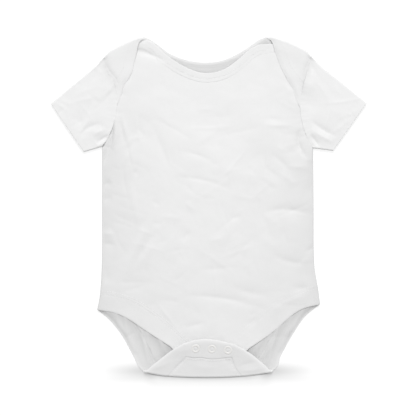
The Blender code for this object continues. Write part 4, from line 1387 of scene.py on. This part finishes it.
def make_back(wall):
    left, right = back_leg_inner["left"], backwards(back_leg_inner["right"])
    bottom = chain([left, middle_fold, right], BREAKS)
    top = chain([panel_fold["left"], back_neck_inner, backwards(panel_fold["right"])], BREAKS)
    patch = coons(bottom, top, body_side("left", 0), body_side("right", 0))
    seams = [back_neck_inner, *back_leg_inner.values(), *armhole.values()]

    def under(points):
        return back_height(points) - np.minimum(seam_valley(points, seams), 0)

    layers = [lay(patch, BODY_COLUMNS, body_rows(), under, -1, wall)]
    for side in SIDES:
        hole = part_of(armhole[side], 0, FLAP_TIP_SHARE)
        band = flap_inners[side]
        flap = coons(panel_fold[side], straight(hole(1), band(1)), hole, band)

        def flap_height(points, side=side):
            clear = smooth(closest(points, shoulder_lines.values()) / SHOULDER_ROLL)
            valley = seam_valley(points, [armhole[side]]) + cap_valley(points, side)
            return shoulder_flap_height(points) + clear * valley

        layers.append(lay(flap, SIDE_MARKS, graded(FLAP_RUN, [0]), flap_height, 1, wall))
    flap = coons(middle_fold, placket_low, crotch_inner["left"], crotch_inner["right"])

    def crotch_height(points):
        clear = smooth(near(points, fold_line)[0] / CROTCH_ROLL)
        valley = seam_valley(points, crotch_inner.values(), 0)
        away = near(points, sampled(placket_low))[0]
        valley = valley - PLACKET_SINK * np.exp(-away / PLACKET_SINK_REACH)
        return crotch_flap_height(points) + clear * valley

    rows = graded(CROTCH_RUN, [0, CROTCH_RUN])
    layer = lay(flap, MIDDLE_MARKS, rows, crotch_height, 1, wall)
    # painted shade over the crotch flap
    return [*layers, layer._replace(tone=layer.tone * PAINTED_CROTCH_SHADE)]


def make_front(wall):
    left, right = front_leg_inner["left"], front_leg_inner["right"]
    bottom = chain([left, straight(left(1), right(1)), backwards(right)], BREAKS)
    left, right = body_side("left", FRONT_TOP_SHARE), body_side("right", FRONT_TOP_SHARE)
    hidden = straight(left(1), front_corner["left"]), straight(front_corner["right"], right(1))
    top = chain([hidden[0], front_neck_inner, hidden[1]], BREAKS)
    patch = coons(bottom, top, left, right)

    def height(points):
        valley = seam_valley(points, [front_neck_inner, *armhole.values()])
        valley = valley + seam_valley(points, [front_leg_inner["left"]], FLAT_SEAM_SINK)
        for side in SIDES:
            valley = valley + cap_valley(points, side) * (points[:, 1] < FLAP_LEVEL)
        return front_height(points) + valley

    return [lay(patch, BODY_COLUMNS, body_rows(FRONT_FINE), height, 1, wall)]


def make_sleeve(side, wall):
    """A flattened tube, folded above and sewn under the arm, with a turned hem at its cuff."""
    hole = sleeve_hole(side)
    cuff_under, cuff_top = one_side(CUFF_UNDER, side)[0], one_side(CUFF_TOP, side)[0]
    under, above = sleeve_folds(side)
    cuff = straight(cuff_under, cuff_top)
    patch = coons(hole, cuff, under, above)
    columns = graded(SLEEVE_ROUND, [0, SLEEVE_ROUND])
    rows = graded(SLEEVE_RUN, [0, SLEEVE_RUN], coarse=BAND_COARSE)
    folded, cuff_line = [sampled(fold, 60) for fold in (under, above)], sampled(cuff, 4)
    axis = (cuff_under + cuff_top - hole(0) - hole(1)) / 2
    grain = math.degrees(math.atan2(axis[1], axis[0])) - 90
    layers = []
    for facing in (-1, 1):

        def height(points, facing=facing):
            reach = closest(points, folded)
            rise = sleeve_height(points, side, facing, reach)
            away, along = near(points, cuff_line)
            gather = np.sin(math.tau * along / GATHER_WAVE + np.sin(along * GATHER_CHANGE))
            drop = (1 - turned(away, RIM)) * wall / MM / 2
            drop -= GATHER * gather * bump(away - HEM, GATHER_REACH)
            valley = seam_valley(points, [armhole[side]])
            valley = valley + cap_valley(points, side, SLEEVE_SINK_REACH[side])
            valley = valley * smooth(reach / SIDE_ROLL)
            if facing < 0:
                return rise + np.maximum(drop - valley, 0)
            hem = HEM_RISE * smooth((HEM - away) / HEM_RISE_RUN + 0.5)
            return rise + hem - drop + valley

        layer = lay(patch, columns, rows, height, facing, wall, grain)
        points, shape = layer.place[..., :2].reshape(-1, 2), layer.wall.shape
        away = near(points, cuff_line)[0].reshape(shape)
        layer = layer._replace(wall=layer.wall * np.maximum(turned(away, RIM), CUFF_WALL))
        # A sleeve's upper face takes only the painted shade of the seam valley
        if facing > 0:
            layer = layer._replace(tone=painted_seam_shade(points).reshape(shape))
        layers.append(layer)
    return layers


# ---------------------------------------------------------------- bands


def band_rows(band):
    return graded(band.width, [0, band.width, *band.grooves], BAND_FINE, BAND_COARSE)


def make_neck_front(wall):
    band = Band(NECK_BAND, wall, NECK_CROWN, RIM, [NECK_STITCH], SEAM_SINK)
    patch = strip(front_neck, front_neck_inner, NECK_BAND)
    columns = graded(FRONT_NECK_RUN, coarse=BAND_COARSE)
    (start, end), (rise, fall) = NECK_SEAM_SHOWS, NECK_SEAM_RUNS
    shows = smooth((columns - start) / rise + 1) * smooth((end - columns) / fall + 1)
    fade = NECK_SEAM_LEFT + (1 - NECK_SEAM_LEFT) * shows
    return [lay_band(patch, columns, band_rows(band), front_height, 1, band, fade=fade)]


def make_neck_back(wall):
    band = Band(NECK_BAND, wall, BACK_NECK_CROWN, RIM, [NECK_STITCH], FLAT_SEAM_SINK)
    rows = band_rows(band)
    patch = strip(back_neck, back_neck_inner, NECK_BAND, band_fold["left"], band_fold["right"])
    columns = graded(BACK_NECK_RUN, [0, BACK_NECK_RUN], coarse=BAND_COARSE)
    under = band._replace(rim=BACK_NECK_RIM)
    layers = [lay_band(patch, columns, rows, back_height, -1, under, inside=NECK_TURN)]
    plain = Band(NECK_BAND, PANEL_WALL * MM, 0, SHOULDER_RIM, [], 0)
    for side in SIDES:
        tip = part_of(armhole[side], FLAP_TIP[side], FLAP_TIP_SHARE)
        flap = strip(flap_edge[side], flap_inners[side], NECK_BAND, band_fold[side], tip)
        columns = graded(FLAP_EDGE_RUN, [0], coarse=BAND_COARSE)
        thin = 1 - (1 - FLAP_WALL) * smooth(columns / FLAP_WALL_RUN)

        def height(points, side=side):
            reach = closest(points, shoulder_lines.values())
            clear = smooth(reach / SHOULDER_ROLL)
            line = sampled(flap_edge[side])
            away, along = near(points, line)
            drop = FLAP_DROP[side] * (1 - smooth(away / FLAP_DROP_REACH))
            drop *= ramp(length_of(line) - along, *FLAP_DROP_RAMP)
            point = (1 - smooth(away / POINT_REACH)) * (1 - smooth(along / POINT_RUN))
            drop += POINT_DROP * point
            rolled = turned(reach, SHOULDER_ROLL * ROLL_WIDTH)
            valley = clear * cap_valley(points, side)
            return shoulder_flap_height(points) + valley - rolled * drop

        layer = lay_band(flap, columns, rows, height, 1, plain)
        layers.append(layer._replace(wall=layer.wall * thin))
    return layers


def painted_flap_shading(across):
    """Painted shading of the crotch flap's bands, row by row from their free edge: painted shade,
    with a painted highlight along that edge.
    """
    return (PAINTED_CROTCH_SHADE + PAINTED_EDGE_HIGHLIGHT * bump(across, PAINTED_EDGE_HIGHLIGHT_REACH))[:, None]


def make_leg_front(side, wall):
    band = Band(LEG_BAND, wall, LEG_CROWN, HEM_RIM, [LEG_STITCH], FLAT_SEAM_SINK)
    seam = part_of(side_seam[side], 1, band_top(side))
    if side == "right":
        band = band._replace(crown=0, grooves=[], sink=0)
    patch = strip(front_leg_edge[side], front_leg_inner[side], LEG_BAND, start=seam)
    columns = graded(FRONT_LEG_RUN, [0], coarse=BAND_COARSE)
    rows = band_rows(band)
    layer = lay_band(patch, columns, rows, front_height, 1, band)
    thin = HEM_WALL + (1 - HEM_WALL) * smooth(rows * LEG_BAND / HEM_WALL_RUN)
    return [layer._replace(wall=layer.wall * thin[:, None])]


def make_leg_back(side, wall):
    band = Band(LEG_BAND, wall, LEG_CROWN, CUT_RIM, [LEG_STITCH], FLAT_SEAM_SINK)
    rows = band_rows(band)
    seam = part_of(side_seam[side], 1, band_top(side))
    corner = {"left": 0, "right": 1}[side]
    fold = part_of(crotch_fold, corner, FOLD_CROSSING[side])
    back = strip(back_leg_edge[side], back_leg_inner[side], LEG_BAND, start=seam, end=fold)
    flap = strip(crotch_edge[side], crotch_inner[side], LEG_BAND, start=fold)
    columns = graded(BACK_LEG_RUN, [0, BACK_LEG_RUN], coarse=BAND_COARSE)
    full = graded(CROTCH_EDGE_RUN, [0], coarse=BAND_COARSE)
    under = lay_band(back, columns, rows, back_height, -1, band)
    band = band._replace(rim=FLAP_RIM, grooves=[], crown=FLAP_CROWN)
    over = lay_band(flap, full, rows, crotch_flap_height, 1, band)
    # painted shade, and a painted highlight along the edge, on the flap's binding
    return [under, over._replace(tone=over.tone * painted_flap_shading(rows * LEG_BAND))]


def make_placket(wall):
    """The band across the end of the crotch flap, with the snaps' seats pressed into it."""
    band = Band(PLACKET, wall, FLAP_CROWN, FLAP_RIM, [], PLACKET_SINK)
    clear = SEAM_GAP / length_of(sampled(placket_top))
    top, low = (part_of(curve, clear, 1 - clear) for curve in (placket_top, placket_low))
    columns = graded(PLACKET_RUN, coarse=PLACKET_COARSE)
    rows = graded(PLACKET, [0, PLACKET], BAND_FINE, PLACKET_COARSE)
    layer = lay_band(strip(top, low, PLACKET), columns, rows, placket_height, 1, band)
    # painted shade, and a painted highlight along the edge, on the placket
    return [layer._replace(tone=layer.tone * painted_flap_shading(rows * PLACKET))]


def make_under_placket(wall):
    """The band across the end of the front, under the flap."""
    band = Band(UNDER_PLACKET, wall, LEG_CROWN, RIM, [], 0)
    left, right = ((front_leg_edge[side](1), front_leg_inner[side](1)) for side in SIDES)
    top = path([*left, *right[::-1]] + np.array((0, -SEAM_GAP)))
    low = straight(*UNDER_PLACKET_LOW)
    patch = coons(low, top, straight(low(0), top(0)), straight(low(1), top(1)))
    columns = graded(UNDER_PLACKET_RUN, coarse=BAND_COARSE)
    return [lay_band(patch, columns, band_rows(band), front_height, 1, band)]


# ---------------------------------------------------------------- snaps and stitches


def make_rings():
    """Three open rings with a rolled edge, each seated on the sloping flap."""
    # Radius and height of each corner of their section, from the hole outwards and back
    profile = (
        (SNAP_HOLE, 0.0),
        (SNAP_RADIUS - 0.15, 0.0),
        (SNAP_RADIUS, 0.12),
        (SNAP_RADIUS, 0.38),
        (SNAP_RADIUS - 0.2, 0.66),
        (SNAP_RADIUS - 0.6, 0.76),
        (SNAP_RADIUS - 1.1, SNAP_HEIGHT),
        (SNAP_HOLE + 0.9, 0.75),
        (SNAP_HOLE + 0.35, 0.62),
        (SNAP_HOLE, 0.36),
    )
    tilt = math.atan(CROTCH_SLOPES[1])
    for number, spot in enumerate(SNAPS, start=1):
        mesh = bmesh.new()
        verts = [mesh.verts.new((radius * MM, 0, height * MM)) for radius, height in profile]
        edges = [mesh.edges.new(pair) for pair in zip(verts, verts[1:] + verts[:1])]
        bmesh.ops.spin(
            mesh,
            geom=verts + edges,
            cent=(0, 0, 0),
            axis=(0, 0, 1),
            dvec=(0, 0, 0),
            angle=math.tau,
            steps=SNAP_STEPS,
            use_merge=True,
        )
        bmesh.ops.recalc_face_normals(mesh, faces=mesh.faces[:])
        seat = crotch_flap_height(np.array([spot]))[0] + FLAP_CROWN - SNAP_PRESS + SNAP_SEAT
        place = Matrix.Translation(Vector((*spot, seat)) * MM) @ Matrix.Rotation(tilt, 4, "X")
        bmesh.ops.transform(mesh, matrix=place, verts=mesh.verts)
        keep(f"snap_face_{number}", mesh, ENAMEL, [f"snap_ring_{number}"])


def sew(name, rows):
    """Rows of stitches as one piece. Each row is (curve, height function, rise, start, end)."""
    settings = bpy.context.scene.bodysuit
    pitch, size = settings.stitch_pitch / MM, settings.stitch_length / MM
    thick = settings.thread_thickness
    mesh = bmesh.new()
    for curve, height, lift, start, end in rows:
        line = part_of(curve, start, end)
        total = length_of(sampled(line, 200))
        count = int(total / pitch)
        middles = (np.arange(count) + 0.5) / count
        half = size / total / 2
        ends = [line(middles - half), line(middles + half)]
        ends = [np.column_stack([end, height(end) + lift]) * MM for end in ends]
        for low, high in zip(*ends):
            run = Vector(high - low)
            turn = run.to_track_quat("X", "Z").to_matrix().to_4x4()
            scale = Matrix.Diagonal((run.length / 2, thick / 2, thick / 2, 1))
            bmesh.ops.create_uvsphere(
                mesh,
                u_segments=6,
                v_segments=5,
                radius=1,
                matrix=Matrix.Translation(Vector(low + high) / 2) @ turn @ scale,
            )
    return keep(name, mesh, THREAD)


def beside(curve, width):
    """A curve width to the right of another."""
    return path(inset(sampled(curve, 60), width))


# ---------------------------------------------------------------- the add-on


class BodysuitSettings(bpy.types.PropertyGroup):
    """Sizes and colours of the garment"""

    panel_wall: FloatProperty(
        name="Jersey thickness",
        description="Thickness of the cloth of the panels and sleeves",
        default=0.8 * MM,
        min=0.3 * MM,
        max=1.2 * MM,
        unit="LENGTH",
    )
    band_wall: FloatProperty(
        name="Binding thickness",
        description="Thickness of the doubled strips round the openings",
        default=1.4 * MM,
        min=0.6 * MM,
        max=1.6 * MM,
        unit="LENGTH",
    )
    crease_depth: FloatProperty(
        name="Crease depth",
        description="Depth of the creases, 0 for a pressed garment",
        default=1.0,
        min=0.0,
        max=1.4,
        subtype="FACTOR",
    )
    stitch_pitch: FloatProperty(
        name="Stitch spacing",
        description="Distance from one stitch to the next",
        default=2.8 * MM,
        min=1.5 * MM,
        unit="LENGTH",
    )
    stitch_length: FloatProperty(
        name="Stitch length",
        description="Length of thread that shows at each stitch",
        default=2.2 * MM,
        min=1.0 * MM,
        unit="LENGTH",
    )
    thread_thickness: FloatProperty(
        name="Thread thickness",
        description="Thickness of the sewing thread",
        default=0.42 * MM,
        min=0.2 * MM,
        unit="LENGTH",
    )
    cotton_colour: FloatVectorProperty(
        name="Cotton colour",
        description="Colour of the panels and sleeves",
        subtype="COLOR",
        default=linear("#E9E9E9")[:3],
        min=0.0,
        max=1.0,
    )
    rib_colour: FloatVectorProperty(
        name="Rib colour",
        description="Colour of the bindings",
        subtype="COLOR",
        default=linear("#E9E9E9")[:3],
        min=0.0,
        max=1.0,
    )
    thread_colour: FloatVectorProperty(
        name="Thread colour",
        description="Colour of the sewing thread",
        subtype="COLOR",
        default=linear("#F0F0F0")[:3],
        min=0.0,
        max=1.0,
    )
    snap_colour: FloatVectorProperty(
        name="Snap colour",
        description="Colour of the enamelled snaps",
        subtype="COLOR",
        default=linear("#E6E5E3")[:3],
        min=0.0,
        max=1.0,
    )


class StudioSettings(bpy.types.PropertyGroup):
    """Light and camera round the garment"""

    key_power: FloatProperty(
        name="Key light",
        description="Power of the large lamp beyond the neck",
        default=176.0,
        min=0.0,
        unit="POWER",
    )
    sky_strength: FloatProperty(
        name="Fill light",
        description="Strength of the even white light from all round",
        default=0.55,
        min=0.0,
    )
    table_glow: FloatProperty(
        name="Table glow",
        description="Light that the table gives off itself",
        default=0.70,
        min=0.0,
    )
    camera_height: FloatProperty(
        name="Camera height",
        description="Height of the camera over the table",
        default=1.3,
        min=0.5,
        unit="LENGTH",
    )
    view_width: FloatProperty(
        name="View width",
        description="Width of table that the camera takes in",
        default=457.6 * MM,
        min=0.1,
        unit="LENGTH",
    )


class BODYSUIT_OT_back(bpy.types.Operator):
    """Make the back panel, with its shoulder flaps and crotch flap folded over"""

    bl_idname = "bodysuit.back"
    bl_label = "Back panel"

    def execute(self, context):
        layers = make_back(context.scene.bodysuit.panel_wall)
        cloth("back_cloth", layers, JERSEY, ["back_panel"])
        return {"FINISHED"}


class BODYSUIT_OT_front(bpy.types.Operator):
    """Make the front panel"""

    bl_idname = "bodysuit.front"
    bl_label = "Front panel"

    def execute(self, context):
        layers = make_front(context.scene.bodysuit.panel_wall)
        cloth("front_cloth", layers, JERSEY, ["front_panel"])
        return {"FINISHED"}


class BODYSUIT_OT_sleeves(bpy.types.Operator):
    """Make both sleeves"""

    bl_idname = "bodysuit.sleeves"
    bl_label = "Sleeves"

    def execute(self, context):
        for side in SIDES:
            layers = make_sleeve(side, context.scene.bodysuit.panel_wall)
            cloth(f"sleeve_cloth_{side}", layers, JERSEY, [f"sleeve_{side}"])
        return {"FINISHED"}


class BODYSUIT_OT_neck(bpy.types.Operator):
    """Make the bindings of the neck opening"""

    bl_idname = "bodysuit.neck"
    bl_label = "Neck bindings"

    def execute(self, context):
        wall = context.scene.bodysuit.band_wall
        for place, make in (("back", make_neck_back), ("front", make_neck_front)):
            name = f"neck_binding_{place}"
            cloth(name, make(wall), RIB, [f"neck_band_{place}"])
        return {"FINISHED"}


class BODYSUIT_OT_legs(bpy.types.Operator):
    """Make the bindings of the leg openings"""

    bl_idname = "bodysuit.legs"
    bl_label = "Leg bindings"

    def execute(self, context):
        wall = context.scene.bodysuit.band_wall
        for place, make in (("back", make_leg_back), ("front", make_leg_front)):
            for side in SIDES:
                cut = f"leg_binding_{place}"
                node = f"leg_band_{place}_{side}"
                cloth(f"{cut}_{side}", make(side, wall), RIB, [node])
        return {"FINISHED"}


class BODYSUIT_OT_plackets(bpy.types.Operator):
    """Make the two plackets of the crotch"""

    bl_idname = "bodysuit.plackets"
    bl_label = "Plackets"

    def execute(self, context):
        wall = context.scene.bodysuit.band_wall
        for place, make in (("back", make_placket), ("front", make_under_placket)):
            name = f"placket_{place}"
            cloth(name, make(wall), RIB, [f"crotch_{name}"])
        return {"FINISHED"}


class BODYSUIT_OT_snaps(bpy.types.Operator):
    """Make the rings of the snaps, and enamel their sockets"""

    bl_idname = "bodysuit.snaps"
    bl_label = "Snaps"

    def execute(self, context):
        make_rings()
        for number in range(1, len(SNAPS) + 1):
            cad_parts[f"snap_socket_{number}"].material_slots[0].material = finished(ENAMEL)
        return {"FINISHED"}


class BODYSUIT_OT_stitches(bpy.types.Operator):
    """Sew the rows of stitches that show"""

    bl_idname = "bodysuit.stitches"
    bl_label = "Stitches"

    def execute(self, context):
        neck = [
            (beside(front_neck, NECK_STITCH), front_height, NECK_CROWN, 0.05, 0.95),
            (beside(back_neck, NECK_STITCH), back_height, UNDER_SEWN, 0.02, 0.98),
        ]
        sew("stitches_neck", neck)
        for side in SIDES:
            seams = (
                (front_leg_inner[side], front_height, FRONT_SEWN[side], 0.01, 0.99),
                (back_leg_inner[side], back_height, UNDER_SEWN, 0.01, 0.98),
                (crotch_inner[side], crotch_flap_height, FLAP_SEWN, 0.04, 0.98),
            )
            shifts = [width * INWARD[side] for width in LEG_ROWS]
            rows = [(beside(seam, shift), *rest) for seam, *rest in seams for shift in shifts]
            sew(f"stitches_leg_{side}", rows)
        above, below = PLACKET_ROWS
        rows = [
            (beside(placket_low, above), placket_height, FLAP_CROWN, 0.02, 0.98),
            (beside(placket_low, below), crotch_flap_height, 0.0, 0.02, 0.98),
        ]
        sew("stitches_placket", rows)
        return {"FINISHED"}


class BODYSUIT_OT_stage(bpy.types.Operator):
    """Set the table, the lamps and the camera"""

    bl_idname = "bodysuit.stage"
    bl_label = "Stage"

    def execute(self, context):
        studio = context.scene.bodysuit_studio
        make_table(studio.table_glow)
        lamp = bpy.data.lights.new("key", "AREA")
        lamp.size = KEY_SIZE
        lamp.energy = studio.key_power
        key = bpy.data.objects.new("key", lamp)
        key.location = KEY_PLACE
        key.rotation_euler = (-key.location).to_track_quat("-Z", "Y").to_euler()
        context.scene.collection.objects.link(key)

        world = context.scene.world or bpy.data.worlds.new("studio")
        context.scene.world = world
        world.use_nodes = True
        background = world.node_tree.nodes["Background"]
        background.inputs["Color"].default_value = (1, 1, 1, 1)
        background.inputs["Strength"].default_value = studio.sky_strength

        lens = bpy.data.cameras.new("camera")
        lens.sensor_width = SENSOR
        lens.lens = lens.sensor_width * studio.camera_height / studio.view_width
        camera = bpy.data.objects.new("camera", lens)
        aim_x, aim_y = CAMERA_AIM
        camera.location = (aim_x * MM, aim_y * MM, studio.camera_height + CAMERA_BASE * MM)
        context.scene.collection.objects.link(camera)
        context.scene.camera = camera
        context.scene.view_settings.view_transform = "Standard"
        return {"FINISHED"}


class BODYSUIT_PT_panel(bpy.types.Panel):
    """Lists the pieces of the garment in the order they are made"""

    bl_idname = "BODYSUIT_PT_panel"
    bl_label = "Bodysuit"
    bl_space_type = "VIEW_3D"
    bl_region_type = "UI"
    bl_category = "Bodysuit"

    def draw(self, context):
        for group in (context.scene.bodysuit, context.scene.bodysuit_studio):
            column = self.layout.column()
            for name in group.__annotations__:
                column.prop(group, name)
        for operator in OPERATORS:
            self.layout.operator(operator.bl_idname)


OPERATORS = (
    BODYSUIT_OT_back,
    BODYSUIT_OT_front,
    BODYSUIT_OT_sleeves,
    BODYSUIT_OT_neck,
    BODYSUIT_OT_legs,
    BODYSUIT_OT_plackets,
    BODYSUIT_OT_snaps,
    BODYSUIT_OT_stitches,
    BODYSUIT_OT_stage,
)
CLASSES = (BodysuitSettings, StudioSettings, *OPERATORS, BODYSUIT_PT_panel)


def register():
    for each in CLASSES:
        bpy.utils.register_class(each)
    bpy.types.Scene.bodysuit = PointerProperty(type=BodysuitSettings)
    bpy.types.Scene.bodysuit_studio = PointerProperty(type=StudioSettings)


def unregister():
    del bpy.types.Scene.bodysuit_studio
    del bpy.types.Scene.bodysuit
    for each in reversed(CLASSES):
        bpy.utils.unregister_class(each)


def main():
    register()
    for operator in OPERATORS:
        family, name = operator.bl_idname.split(".")
        getattr(getattr(bpy.ops, family), name)()


if __name__ == "__main__":
    main()
